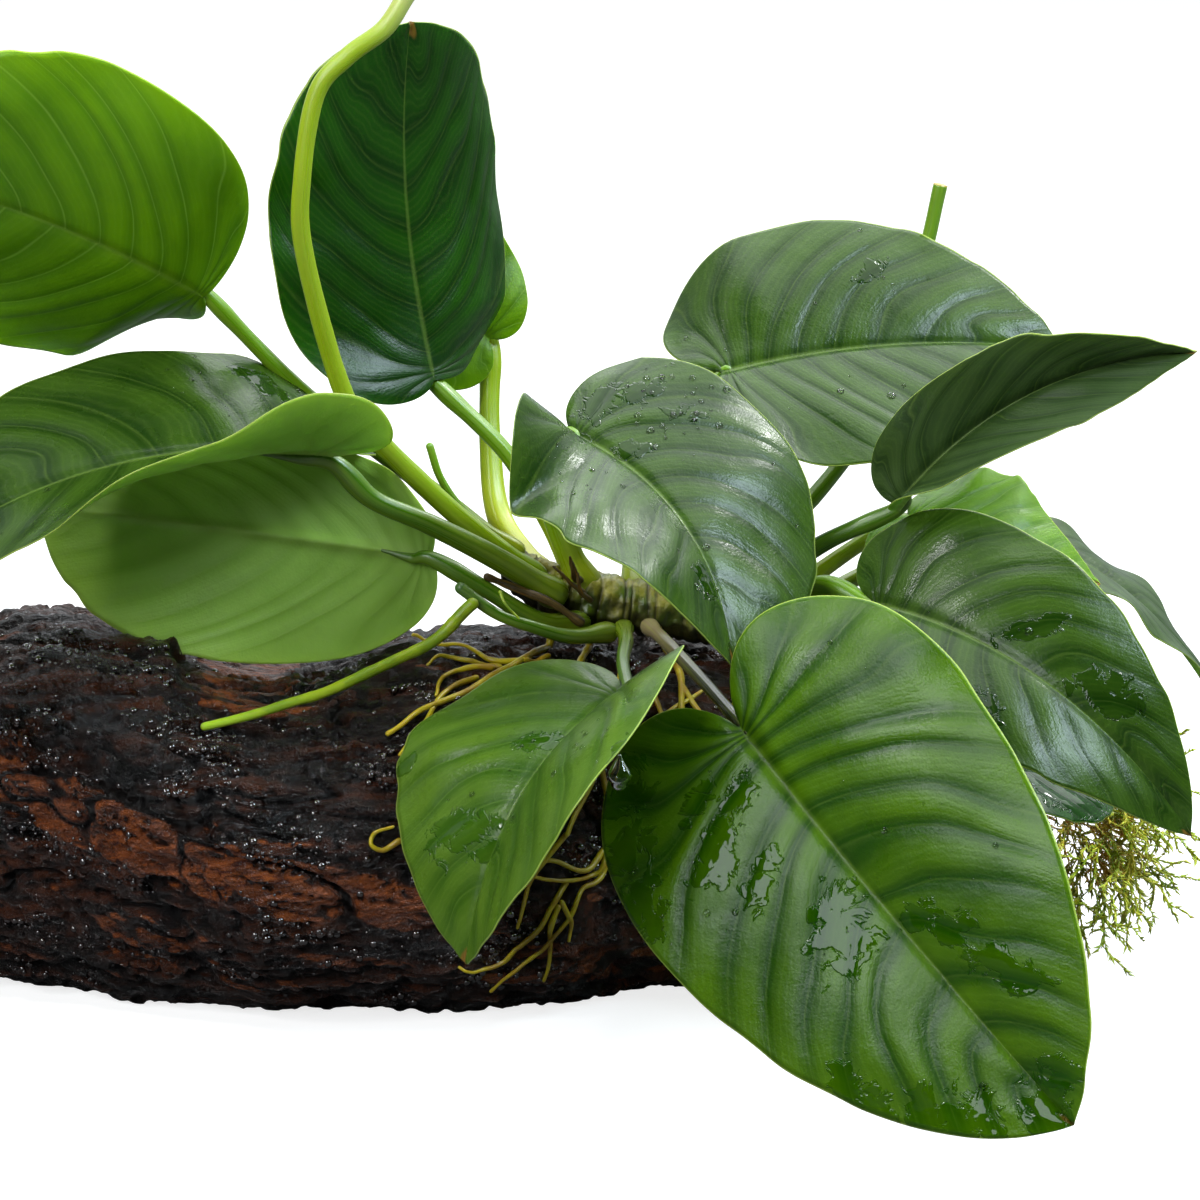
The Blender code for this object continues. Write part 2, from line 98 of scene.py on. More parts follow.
# %% Noise
def grain(points, seed=0):
    """Smooth noise between -1 and 1 at each point, with features about one unit wide."""
    cell = np.floor(points).astype(np.int64)
    inside = points - cell
    ease = inside**3 * (inside * (inside * 6 - 15) + 10)
    total = np.zeros(points.shape[:-1])
    for corner in itertools.product((0, 1), repeat=3):
        x, y, z = (cell[..., a] + corner[a] for a in range(3))
        mixed = (x * 73856093) ^ (y * 19349663) ^ (z * 83492791) ^ (seed * 97531)
        mixed = ((mixed ^ (mixed >> 13)) * 1274126177) & 0x7FFFFFFF
        value = ((mixed ^ (mixed >> 15)) & 0xFFFF) / 32767.5 - 1
        weight = np.ones(points.shape[:-1])
        for a in range(3):
            weight = weight * (ease[..., a] if corner[a] else 1 - ease[..., a])
        total += value * weight
    return total


def layered_grain(points, octaves, seed=0):
    """Noise with finer noise on top of it, each layer half as wide and half as high."""
    return sum(grain(points * 2.0**n, seed + n) / 2.0**n for n in range(octaves))


sample = grain(np.random.default_rng(1).uniform(0, 50, (2000, 3)))
print("noise runs from", sample.min().round(2), "to", sample.max().round(2))

# %% [markdown]
# ## Meshes and pieces
#
# Two makers cover nearly everything. `new_piece` turns arrays into a mesh object, and `settle` fixes it to the
# frame and hides the simple solids that it stands for. The plant has no moving parts, so every piece rides on
# the one body, root.

# %% Make a piece
def new_piece(name, verts_mm, faces, materials, uv=None, face_materials=None, values=None):
    """A smooth mesh object. uv holds a map position for each vertex, and values named numbers for each."""
    mesh = bpy.data.meshes.new(name)
    mesh.from_pydata((np.asarray(verts_mm) * MM).tolist(), [], faces)
    mesh.shade_smooth()
    for material in materials:
        mesh.materials.append(material)
    if face_materials is not None:
        mesh.polygons.foreach_set("material_index", face_materials)
    if uv is not None:
        corner = np.empty(len(mesh.loops), np.int32)
        mesh.loops.foreach_get("vertex_index", corner)
        layer = mesh.uv_layers.new(name="growth_map")
        layer.data.foreach_set("uv", np.asarray(uv, np.float32)[corner].ravel())
    for label, numbers in (values or {}).items():
        attribute = mesh.attributes.new(label, "FLOAT", "POINT")
        attribute.data.foreach_set("value", np.asarray(numbers, np.float32))
    piece = bpy.data.objects.new(name, mesh)
    bpy.context.scene.collection.objects.link(piece)
    return piece


def settle(piece, slot, *nodes):
    """Fixes a finished piece to the frame and hides the simple solids that it stands for."""
    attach(piece, "root")
    if nodes:
        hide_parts(*nodes)
    triangles = sum(len(face.vertices) - 2 for face in piece.data.polygons)
    print(f"{piece.name}: {triangles} triangles")


print("makers ready")

# %% [markdown]
# Stalks, roots and moss strands are tubes along a path. Each ring of a tube has to stand square to the path
# without twisting from one ring to the next. Carrying the same sideways direction along the path, and only
# leaning it back square at each step, does that. Both ends close in a few shrinking rings, so that a cut or
# broken end looks rounded and not drilled.

# %% Tubes
TUBE_CAP_RINGS = 4


def tube_frames(path):
    """For each point of the path, its forward direction and two directions square to it that don't twist."""
    ahead = unit(np.gradient(path, axis=0))
    side = np.zeros_like(path)
    start = np.cross(ahead[0], (0.0, 0.0, 1.0))
    if np.linalg.norm(start) < 0.2:
        start = np.cross(ahead[0], (0.0, 1.0, 0.0))
    side[0] = unit(start)
    for i in range(1, len(path)):
        carried = side[i - 1] - ahead[i] * np.dot(side[i - 1], ahead[i])
        side[i] = unit(carried)
    return ahead, side, np.cross(side, ahead)


def tube_arrays(path, radius, sides, relief=None, flat_end=False):
    """Points, faces and map of a closed tube. relief(turn, along) is added to the radius, all in millimetres."""
    path = np.asarray(path, float)
    radius = np.broadcast_to(np.asarray(radius, float), (len(path),))
    ahead, side, up = tube_frames(path)
    turn = np.linspace(0, 2 * np.pi, sides, endpoint=False)
    along = np.linspace(0, 1, len(path))
    reach = radius[:, None] + (relief(turn[None, :], along[:, None]) if relief else 0)
    ring = side[:, None] * np.cos(turn)[None, :, None] + up[:, None] * np.sin(turn)[None, :, None]
    body = path[:, None] + ring * reach[..., None]
    rings, places = list(body), list(along)
    for end, rounding in ((0, 1.0), (-1, 0.15 if flat_end else 1.0)):
        for n in range(1, TUBE_CAP_RINGS):
            a = 0.5 * np.pi * n / TUBE_CAP_RINGS
            out = ahead[end] * radius[end] * np.sin(a) * rounding * (1 if end else -1)
            shrink = np.cos(a) if not flat_end or not end else 1 - n / TUBE_CAP_RINGS
            capped = path[end] + (body[end] - path[end]) * shrink + out
            rings.insert(len(rings) if end else 0, capped)
            places.insert(len(places) if end else 0, along[end])
    verts = np.array(rings).reshape(-1, 3)
    tips = [path[0] - ahead[0] * radius[0], path[-1] + ahead[-1] * radius[-1] * (0.15 if flat_end else 1)]
    verts = np.vstack([verts, tips])
    faces = []
    for r in range(len(rings) - 1):
        for s in range(sides):
            n = (s + 1) % sides
            faces.append((r * sides + s, r * sides + n, (r + 1) * sides + n, (r + 1) * sides + s))
    last, count = (len(rings) - 1) * sides, len(verts)
    for s in range(sides):
        n = (s + 1) % sides
        faces.append((n, s, count - 2))
        faces.append((last + s, last + n, count - 1))
    uv = [(s / sides, place) for place in places for s in range(sides)] + [(0.5, 0.0), (0.5, 1.0)]
    return verts, faces, np.array(uv)


def joined(parts):
    """Several sets of points, faces and maps as one."""
    verts, faces, uvs, start = [], [], [], 0
    for part_verts, part_faces, part_uv in parts:
        verts.append(part_verts)
        uvs.append(part_uv)
        faces += [tuple(i + start for i in face) for face in part_faces]
        start += len(part_verts)
    return np.vstack(verts), faces, np.vstack(uvs)


test_tube = tube_arrays([(0, 0, 0), (5, 0, 0), (10, 2, 0)], 1.0, 8)
print("a test tube has", len(test_tube[0]), "points and", len(test_tube[1]), "faces")

# %% [markdown]
# ## The camera
#
# The camera looks from a little above, with a long lens from a metre away, so that the plant is drawn with
# hardly any perspective. It aims at a point just above the rhizome.

# %% Set the camera
CAMERA_DISTANCE = 1.0
CAMERA_ELEVATION = math.radians(14)
CAMERA_AIM = Vector((0.0, 0.0, 0.107))
VIEW_WIDTH = 0.324
SENSOR = 36.0

camera_data = bpy.data.cameras.new("camera")
camera_data.sensor_width = SENSOR
camera_data.lens = SENSOR * CAMERA_DISTANCE / VIEW_WIDTH
camera = bpy.data.objects.new("camera", camera_data)
back = Vector((0.0, -math.cos(CAMERA_ELEVATION), math.sin(CAMERA_ELEVATION)))
camera.location = CAMERA_AIM + back * CAMERA_DISTANCE
camera.rotation_euler = (math.pi / 2 - CAMERA_ELEVATION, 0.0, 0.0)
bpy.context.scene.collection.objects.link(camera)
bpy.context.scene.camera = camera
print("lens", round(camera_data.lens, 1), "mm, from", [round(c, 3) for c in camera.location])

# %% [markdown]
# ## Nodes in fewer lines
#
# Materials are graphs of nodes. Three small helpers keep the graphs readable: one adds a node and fills its
# sockets, one does arithmetic, and one mixes two colours by a mask. Each takes either a number or another
# node's output for any socket.

# %% Shader helpers
def put(tree, kind, outlet=0, settings=None, **sockets):
    """Adds a node, sets or wires its sockets by name or by number (as _0, _1), and returns one output."""
    made = tree.nodes.new(kind)
    for key, value in (settings or {}).items():
        setattr(made, key, value)
    for key, value in sockets.items():
        socket = made.inputs[int(key[1:]) if key[0] == "_" else key.replace("_", " ")]
        if isinstance(value, bpy.types.NodeSocket):
            tree.links.new(value, socket)
        else:
            socket.default_value = value
    return made.outputs[outlet]


def calc(tree, operation, a, b=0.0, c=0.0):
    return put(tree, "ShaderNodeMath", settings={"operation": operation}, _0=a, _1=b, _2=c)


def ramp(tree, value, low, high, to_low=0.0, to_high=1.0):
    """An eased step from to_low to to_high as value goes from low to high."""
    return put(tree, "ShaderNodeMapRange", settings={"interpolation_type": "SMOOTHSTEP"},
               Value=value, From_Min=low, From_Max=high, To_Min=to_low, To_Max=to_high)


def blend(tree, mask, a, b, how="MIX"):
    return put(tree, "ShaderNodeMix", outlet=2, settings={"data_type": "RGBA", "blend_type": how},
               _0=mask, _6=a, _7=b)


def paint(red, green, blue):
    """A colour from its screen values, 0 to 255, as the linear numbers that shaders use."""
    return (*((c / 255) ** 2.2 for c in (red, green, blue)), 1.0)


def speckle(tree, where, size_mm, detail=3.0, roughness=0.55, distortion=0.0):
    """Noise from 0 to 1 with features of about this size."""
    return put(tree, "ShaderNodeTexNoise", Vector=where, Scale=1000.0 / size_mm, Detail=detail,
               Roughness=roughness, Distortion=distortion)


def new_material(name):
    """A material with one Principled shader: the material, its tree and the shader."""
    material = bpy.data.materials.new(name)
    material.use_nodes = True
    return material, material.node_tree, material.node_tree.nodes["Principled BSDF"]


def new_group(name, inputs, outputs):
    """A node group: its tree, the node that carries its inputs and the node that takes its outputs."""
    group = bpy.data.node_groups.new(name, "ShaderNodeTree")
    for direction, sockets in (("INPUT", inputs), ("OUTPUT", outputs)):
        for label, kind in sockets:
            group.interface.new_socket(label, in_out=direction, socket_type="NodeSocket" + kind)
    return group, group.nodes.new("NodeGroupInput"), group.nodes.new("NodeGroupOutput")


def use_group(tree, group, **sockets):
    """A copy of a group in a material, wired up. Returns its outputs."""
    made = tree.nodes.new("ShaderNodeGroup")
    made.node_tree = group
    for key, value in sockets.items():
        if isinstance(value, bpy.types.NodeSocket):
            tree.links.new(value, made.inputs[key])
        else:
            made.inputs[key].default_value = value
    return made.outputs


print("leaf green in linear numbers:", [round(c, 3) for c in paint(40, 90, 20)])

# %% [markdown]
# ## Floor and light
#
# The plant stands on a plain white floor under soft studio light. A broad panel overhead, a little behind the
# plant, gives the waxy leaves their long pale sheen and shines through the thin ones. A window-like panel at
# the left is mirrored by the leaves that face forwards, and three small panels put crisp sparks on water and
# wet bark. Dark leaves look milky when they mirror something white, so the
# surroundings are bright behind and dark in front, and only the camera sees the floor as white: the leaves see
# a dark grey floor.

# %% Floor
FLOOR_HALF = 9.0
FLOOR_SEEN = 0.42
FLOOR_MIRRORED = 0.12
FLOOR_GLOW = 0.78

floor_white, floor_tree, floor_shader = new_material("floor_white")
floor_shader.inputs["Roughness"].default_value = 1.0
floor_shader.inputs["Specular IOR Level"].default_value = 0.0
floor_shader.inputs["Emission Color"].default_value = (1.0, 1.0, 1.0, 1.0)
seen = put(floor_tree, "ShaderNodeLightPath", outlet="Is Camera Ray")
floor_tree.links.new(calc(floor_tree, "MULTIPLY", seen, FLOOR_GLOW), floor_shader.inputs["Emission Strength"])
floor_greys = ((grey, grey, grey, 1.0) for grey in (FLOOR_MIRRORED, FLOOR_SEEN))
floor_tree.links.new(blend(floor_tree, seen, *floor_greys), floor_shader.inputs["Base Color"])
corners = [(x * FLOOR_HALF, y * FLOOR_HALF, 0.0) for x, y in ((-1, -1), (1, -1), (1, 1), (-1, 1))]
floor_mesh = bpy.data.meshes.new("floor")
floor_mesh.from_pydata(corners, [], [(0, 1, 2, 3)])
floor_mesh.materials.append(floor_white)
floor = bpy.data.objects.new("floor", floor_mesh)
bpy.context.scene.collection.objects.link(floor)
print("floor", 2 * FLOOR_HALF, "m wide")

# %% Lights
def soft_panel(name, place, aim, size, watts, tint=(1.0, 1.0, 1.0)):
    """A square light panel that faces the point aim."""
    data = bpy.data.lights.new(name, "AREA")
    data.shape = "SQUARE"
    data.size = size
    data.energy = watts
    data.color = tint
    panel = bpy.data.objects.new(name, data)
    panel.location = place
    panel.rotation_euler = (Vector(aim) - Vector(place)).to_track_quat("-Z", "Y").to_euler()
    bpy.context.scene.collection.objects.link(panel)
    return panel


PLANT_MIDDLE = (0.0, 0.0, 0.12)
soft_panel("overhead_panel", (0.25, 0.55, 1.5), PLANT_MIDDLE, 1.9, 36, (0.97, 0.99, 1.0))
soft_panel("sheen_panel", (0.85, -0.35, 1.0), PLANT_MIDDLE, 0.45, 17.0, (0.72, 0.88, 1.0))
soft_panel("window_panel", (-0.55, -1.0, 0.75), PLANT_MIDDLE, 0.6, 10.0, (0.90, 0.96, 1.0))
soft_panel("spark_panel_left", (-0.9, -0.35, 1.2), PLANT_MIDDLE, 0.12, 6)
soft_panel("spark_panel_front", (-0.75, -0.7, 0.8), PLANT_MIDDLE, 0.1, 2.5)
soft_panel("spark_panel_right", (0.75, 0.5, 1.1), PLANT_MIDDLE, 0.12, 6)

world = bpy.data.worlds.new("studio")
bpy.context.scene.world = world
world.use_nodes = True
sky_tree = world.node_tree
direction = put(sky_tree, "ShaderNodeTexCoord", outlet=0)
height = put(sky_tree, "ShaderNodeVectorMath", outlet=1, settings={"operation": "DOT_PRODUCT"},
             _0=direction, _1=(0.0, 0.8, 0.6))
brightness = ramp(sky_tree, height, 0.1, 0.95, 0.03, 1.15)
sky_tree.links.new(brightness, sky_tree.nodes["Background"].inputs["Strength"])
sky_tree.nodes["Background"].inputs["Color"].default_value = (0.88, 0.95, 1.0, 1.0)
bpy.context.scene.view_settings.view_transform = "Standard"

# %% [markdown]
# ## The leaves' shape
#
# An anubias leaf is heart shaped: the blade reaches back in two lobes round the stalk, is widest below its
# middle and ends in a short point. A handful of dimensions fixes each one: where the stalk meets it and where
# its tip is, which way it faces, how wide each half is, and how it folds, bows, twists and ripples.
#
# The margin is two Bezier curves that meet at the widest place. Side veins run from the midrib out to the
# margin, so a point of the blade is named by its vein (share, 0 at the notch and 1 at the tip) and by how far
# out along the vein it is (t, 0 at the midrib and 1 at the margin). That map is also the texture map, and it
# lets the veins in relief and the veins in colour fall in the same places.

# %% The leaves' dimensions
# base and tip in millimetres. face: the way the upper side looks. twist: degrees from base to tip. arch and
# sweep: how far the midrib bows up and to its right. Pairs are for the left and right half. wide: midrib to
# margin. widest: where that is along the midrib. full: 0 pointed, 1 blunt. lobe: how far a rear lobe reaches.
# fold, curl: degrees that a half turns up at the midrib, and on from there to its margin. lift: extra turn of
# a rear lobe. wave, ripples: height and number of the margin's waves. veins: side veins in each half.
LEAF_FIELDS = "base tip face twist arch sweep wide widest full lobe fold curl lift wave ripples veins"
Leaf = namedtuple("Leaf", LEAF_FIELDS)

LEAVES = {
    "front_large": Leaf((35.3, -66, 90.4), (114.9, -130, 8.2), (-0.37, -0.87, 0.32), 5, 1, 1, (53, 53), 0.2,
                        0.53, (20, 20), (11, 10), (-20, -9), (-6, -9), 0.9, 3.4, 14),
    "front_small": Leaf((5.2, -54, 96.2), (-33.7, -92, 35.9), (-0.55, -0.49, 0.67), -2, 14, -2, (44, 44), 0.4,
                        0.34, (7, 9), (31, 8), (-12, -8), (5, 4), 1.2, 2.4, 10),
    "centre": Leaf((-7.8, -13, 156), (34, -58, 104), (0.22, -0.59, 0.78), -30, 7, -8, (44, 44), 0.37,
                   0.54, (9, 8), (14, 16), (-12, -24), (-8, 50), 1.2, 2.7, 11),
    "lower_right": Leaf((71.5, -22, 112), (152, -62, 60), (-0.06, -0.83, 0.55), -7, 18, -5, (33, 33), 0.22,
                        0.28, (12, 11), (9, 13), (-14, -5), (-3, 0), 0.8, 3.0, 12),
    "right": Leaf((79, -4, 134), (156, -16, 178), (-0.34, -0.87, 0.36), 56, 5, -9, (18, 18), 0.37,
                  0.4, (1, 1), (20, 50), (-14, 21), (-11, 21), 0.5, 3.0, 10),
    "upper_right": Leaf((33.2, 27, 164.7), (128.8, 48, 166.9), (0.13, -0.69, 0.71), 3, 2, -4, (44, 44), 0.37,
                        0.31, (12, 11), (8, 18), (-17, -14), (-29, 5), 0.6, 3.0, 12),
    "back_right": Leaf((85, 26, 125), (138, 22, 106), (0.21, -0.65, 0.73), -3, 4, 6, (28, 28), 0.38,
                       0.17, (4, 5), (8, 8), (-12, -20), (-17, 0), 0.8, 2.4, 9),
    "far_right": Leaf((121, 45, 114.5), (173, 36, 70), (0.56, -0.38, 0.73), -21, 5, -4, (17, 17), 0.37,
                      0.28, (4, 5), (6, 10), (-19, -13), (-5, 0), 2.6, 2.2, 9),
    "under_right": Leaf((91, -24, 69), (137, -20, 57), (0.26, -0.39, 0.88), 11, 5, 1, (19, 19), 0.4,
                        0.83, (4, 4), (8, 11), (-20, -11), (0, 0), 0.6, 2.0, 9),
    "tall": Leaf((-45, 28, 162), (-50.5, 22, 260), (0.31, -0.95, -0.04), 4, -6, -3, (40, 40), 0.43,
                 0.8, (5, 1), (7, -14), (-3, -41), (14, -23), 1.5, 3.2, 11),
    "back_upright": Leaf((-31, 58, 168), (-66, 64, 231), (0.2, -0.97, 0.15), 4, 2, -6, (25, 23), 0.34,
                         0.4, (7, 5), (8, 4), (-15, -20), (0, 0), 1.2, 3.0, 10),
    "upper_left": Leaf((-106, 10, 187.5), (-194, -12, 226), (0.11, -0.95, -0.31), 10, 3, 6, (47, 47), 0.45,
                       0.6, (8, 1), (-10, 8), (-24, -15), (-32, -12), 0.8, 3.0, 12),
    "left": Leaf((-71.5, -22, 152.5), (-196, -52, 112), (-0.26, -0.18, 0.95), -45, 13, 12, (44, 44), 0.2,
                 0.19, (20, 13), (10, 7), (44, -1), (27, -30), 0.8, 3.0, 13),
    "lower_left": Leaf((-45.5, 1, 119), (-152, 12, 130), (0.1, 0.99, -0.05), 20, -3, -1, (28, 36), 0.51,
                       0.64, (1, 4), (6, 2), (2, 2), (-35, 5), 0.6, 3.0, 12),
}
lengths = {name: math.dist(leaf.base, leaf.tip) for name, leaf in LEAVES.items()}
print("leaf lengths in mm:", {name: round(length) for name, length in lengths.items()})

# %% The blade laid flat
NOTCH = 2.4
LOBE_SHARE = 0.30
FAN_SHARE = 0.25
FEET_CROWD = 1.4
MARGIN_WANDER = 0.8
FAN_LENGTH = 0.03


def margin(leaf, k, length, share):
    """The margin of the left (k=0) or right (k=1) half, laid flat, for an array of shares."""
    half, lobe, w, f = leaf.wide[k], leaf.lobe[k], leaf.widest, leaf.full
    behind = np.array((-1.6 * lobe, NOTCH + 0.2 * half))
    wide = np.array((w * length, half))
    rear = [behind * (0.5 * NOTCH / behind[1]), behind, np.array((-0.9 * lobe, half)), wide]
    shoulder = np.array(((w + (1 - w) * (0.3 + 0.4 * f)) * length, half))
    point = np.array(((w + (1 - w) * (0.8 + 0.2 * f)) * length, (0.2 + 0.55 * f) * half))
    front = [wide, shoulder, point, np.array((length, 0.0))]
    back_t = np.clip(share / LOBE_SHARE, 0, 1)[:, None]
    front_t = np.clip((share - LOBE_SHARE) / (1 - LOBE_SHARE), 0, 1)[:, None]
    line = np.where(share[:, None] < LOBE_SHARE, bezier(rear, back_t), bezier(front, front_t))
    places = np.stack([share * 17, np.full_like(share, 3.1 * k), np.full_like(share, 0.37 * length)], axis=-1)
    ends = smoothstep(0, 0.1, share) * (1 - smoothstep(0.92, 1, share))
    line[:, 1] += MARGIN_WANDER * ends * grain(places, 71)
    return line


def laid_flat(leaf, k, length, share, t):
    """Points of the flat blade, one row for each share and one column for each t."""
    fan = FAN_LENGTH * share / FAN_SHARE
    beyond = np.clip((share - FAN_SHARE) / (1 - FAN_SHARE), 0, 1) ** FEET_CROWD
    rest = FAN_LENGTH + (0.995 - FAN_LENGTH) * beyond
    foot = np.stack([np.where(share < FAN_SHARE, fan, rest) * length, np.zeros_like(share)], axis=-1)
    end = margin(leaf, k, length, share)
    bend = np.stack([foot[:, 0] + 0.2 * (end[:, 0] - foot[:, 0]), 0.62 * end[:, 1]], axis=-1)
    return bezier([foot[:, None], bend[:, None], end[:, None]], t[None, :, None])


def across_leaf(leaf):
    """The leaf's length, and its forward, sideways and upward directions over its straight line."""
    line = np.subtract(leaf.tip, leaf.base).astype(float)
    length = np.linalg.norm(line)
    line /= length
    up = np.array(leaf.face) - line * np.dot(leaf.face, line)
    up /= np.linalg.norm(up)
    return length, line, np.cross(line, up), up


def bent(leaf, k, share, t):
    """Points of the blade's middle surface in space, the way it faces there, and the same points laid flat."""
    length, line, across, up = across_leaf(leaf)
    flat = laid_flat(leaf, k, length, share, t)
    x, y = flat[..., 0:1], flat[..., 1:2]
    base, tip = np.array(leaf.base, float), np.array(leaf.tip, float)
    along = np.clip(x / length, 0, 1)
    bow = (base + tip) / 2 + (up * leaf.arch + across * leaf.sweep) * 2
    here = bezier([base, bow, tip], along)
    ahead = unit((bow - base) + ((tip - bow) - (bow - base)) * along)
    here = here + ahead * np.minimum(0, x)
    twist = np.radians(leaf.twist) * along
    face = up * np.cos(twist) + np.cross(line, up) * np.sin(twist)
    side = unit(np.cross(ahead, face))
    rise = np.cross(side, ahead)
    lobe_turn = leaf.lift[k] * smoothstep(0.18 * length, -leaf.lobe[k], x)
    turn = np.radians(leaf.fold[k] + leaf.curl[k] * y / leaf.wide[k] / 2 + lobe_turn)
    outwards = side if k else -side
    out = outwards * np.cos(turn) + rise * np.sin(turn)
    upwards = rise * np.cos(turn) - outwards * np.sin(turn)
    phase = 1.7 if k else 0.4
    ripple = leaf.wave * (y / leaf.wide[k]) ** 2 * np.sin(2 * np.pi * leaf.ripples * x / length + phase)
    return here + out * y + rise * ripple, upwards, flat


print("the large front leaf is", round(2 * margin(LEAVES["front_large"], 0, 1.0, np.array([0.42]))[0, 1]), "mm wide")

# %% [markdown]
# ## Relief on the blade
#
# What makes a real leaf is its relief. The blade swells between the side veins like a quilt, and the midrib is
# a groove above and a ridge below. Light from the broad panel then breaks into the pale curved bands that
# anubias is known for. All of it is added square to the blade, as heights that depend on the vein and on the
# distance from the midrib.

# %% Sculpt a leaf
LEAF_ROWS = 150
LEAF_COLUMNS = 44
BLADE_THICKNESS = 0.75
QUILT_HEIGHT = 0.013
GROOVE_DEPTH = 0.75
RIDGE_HEIGHT = 1.5
VEIN_DRIFT = 0.3
POOL_STRETCH = 1.9


def grown_share(leaf, k, share, t):
    """The shares once growth has pushed the veins a little out of their even rows."""
    places = np.stack(np.broadcast_arrays(share[:, None] * leaf.veins * 0.8, t[None, :] * 2.2, 9.1 * k), axis=-1)
    return share[:, None] + VEIN_DRIFT / leaf.veins * grain(places, leaf.veins) * smoothstep(0, 0.1, share)[:, None]


def relief(leaf, k, share, t, flat, points):
    """Heights of the quilting and of the gentle unevenness, and the midrib's strength from 0 to 1."""
    s, out = share[:, None], t[None, :]
    vein = grown_share(leaf, k, share, t) * leaf.veins
    quilt = np.abs(np.sin(np.pi * vein)) ** 0.8
    uneven = 0.7 + 0.3 * np.cos(2.4 * np.floor(vein) + 2 * k)
    envelope = smoothstep(-0.1, 0.35, out) * (1 - 0.8 * smoothstep(0.72, 1.0, out))
    ends = smoothstep(0.0, 0.14, s) * (1 - smoothstep(0.86, 1.0, s))
    height = QUILT_HEIGHT * np.mean(leaf.wide) * quilt * uneven * envelope * (0.35 + 0.65 * ends)
    height = height + 0.9 * grain(points / 19.0, leaf.veins) * smoothstep(0.1, 0.8, out)
    y = flat[..., 1]
    taper = 1 - 0.75 * np.clip(flat[..., 0] / np.linalg.norm(np.subtract(leaf.tip, leaf.base)), 0, 1)
    rib = np.exp(-((y / (0.7 + 1.3 * taper)) ** 2)) * taper
    return height, rib


def sculpted_leaf(name, leaf, upper, lower, wet_spots=()):
    """The whole blade as one closed sheet, with its map and how wet each place is."""
    share = np.arange(LEAF_ROWS) / LEAF_ROWS
    share = share + 0.06 * np.sin(2 * np.pi * share) / (2 * np.pi)
    t = np.linspace(0, 1, LEAF_COLUMNS + 1) ** 1.35
    halves = []
    for k in (0, 1):
        points, upwards, flat = bent(leaf, k, share, t)
        height, rib = relief(leaf, k, share, t, flat, points)
        halves.append((points, upwards, height, rib, grown_share(leaf, k, share, t)))
    points, upwards, height, rib, grown = (
        np.concatenate([a[:, ::-1], b[:, 1:]], axis=1) for a, b in zip(*halves))
    out = np.concatenate([-t[::-1], t[1:]])
    half_thick = BLADE_THICKNESS / 2 * (1 - 0.55 * np.abs(out) ** 3)[None, :]
    above = points + upwards * (height + half_thick - GROOVE_DEPTH * rib)[..., None]
    below = points + upwards * (height - half_thick - RIDGE_HEIGHT * rib)[..., None]
    tip = np.array(leaf.tip, float)
    tip_up = upwards[-1, LEAF_COLUMNS]
    columns = len(out)
    sheet = LEAF_ROWS * columns + 1
    verts = np.vstack([above.reshape(-1, 3), tip + tip_up * 0.15, below.reshape(-1, 3), tip - tip_up * 0.15])
    r, c = np.meshgrid(np.arange(LEAF_ROWS - 1), np.arange(columns - 1), indexing="ij")
    corner = (r * columns + c).ravel()
    quads = np.stack([corner, corner + 1, corner + columns + 1, corner + columns], axis=-1)
    last = (LEAF_ROWS - 1) * columns
    fan = [(last + i, last + i + 1, sheet - 1) for i in range(columns - 1)]
    top = [tuple(q) for q in quads] + fan
    bottom = [tuple(sheet + i for i in reversed(face)) for face in top]
    edge = [i * columns for i in range(LEAF_ROWS)] + [sheet - 1]
    edge += [i * columns + columns - 1 for i in reversed(range(LEAF_ROWS))] + list(range(columns - 2, 0, -1))
    rim = [(a, edge[(i + 1) % len(edge)], sheet + edge[(i + 1) % len(edge)], sheet + a)
           for i, a in enumerate(edge)]
    normal = np.cross(above[60, 60] - above[60, 59], above[61, 60] - above[60, 60])
    if np.dot(normal, upwards[60, 60]) < 0:
        top, bottom, rim = ([face[::-1] for face in faces] for faces in (top, bottom, rim))
    uv_sheet = np.stack(np.broadcast_arrays(grown, 0.5 + 0.5 * out[None, :]), axis=-1).reshape(-1, 2)
    uv_sheet = np.vstack([uv_sheet, (1.0, 0.5)])
    wet = np.full(sheet, -0.2)
    for side, spot_share, spot_t, size in wet_spots:
        spot, _, _ = bent(leaf, side, np.array([spot_share]), np.array([max(0, spot_t - 0.05), spot_t + 0.05]))
        offset = verts[:sheet] - spot[0].mean(axis=0)
        along = offset @ unit(spot[0, 1] - spot[0, 0])
        gap = np.sqrt(np.maximum(0, (offset**2).sum(axis=1) - along**2 * (1 - 1 / POOL_STRETCH**2)))
        wet = np.maximum(wet, 1 - gap / size)
    slots = np.array([0] * len(top) + [1] * len(bottom) + [0] * len(rim), np.int32)
    return new_piece("leaf_" + name + "_blade", verts, top + bottom + rim, [upper, lower],
                     uv=np.vstack([uv_sheet, uv_sheet]), face_materials=slots,
                     values={"wet": np.concatenate([wet, np.full(sheet, -0.2)])})


print("each leaf has", 2 * (LEAF_ROWS * (2 * LEAF_COLUMNS + 1) + 1), "points")

# %% [markdown]
# ## Patterns shared by the leaves
#
# The veins in colour are read from the leaf's own map, so they lie in the grooves made above. A group holds
# that pattern once, and each leaf finish uses it with its own number of veins. The same goes for the film of
# water. Water lies on a waxy leaf in pools with sharp winding edges, which a smooth mask and a noise make
# together: the mask says where the water is, and the noise draws its edge.

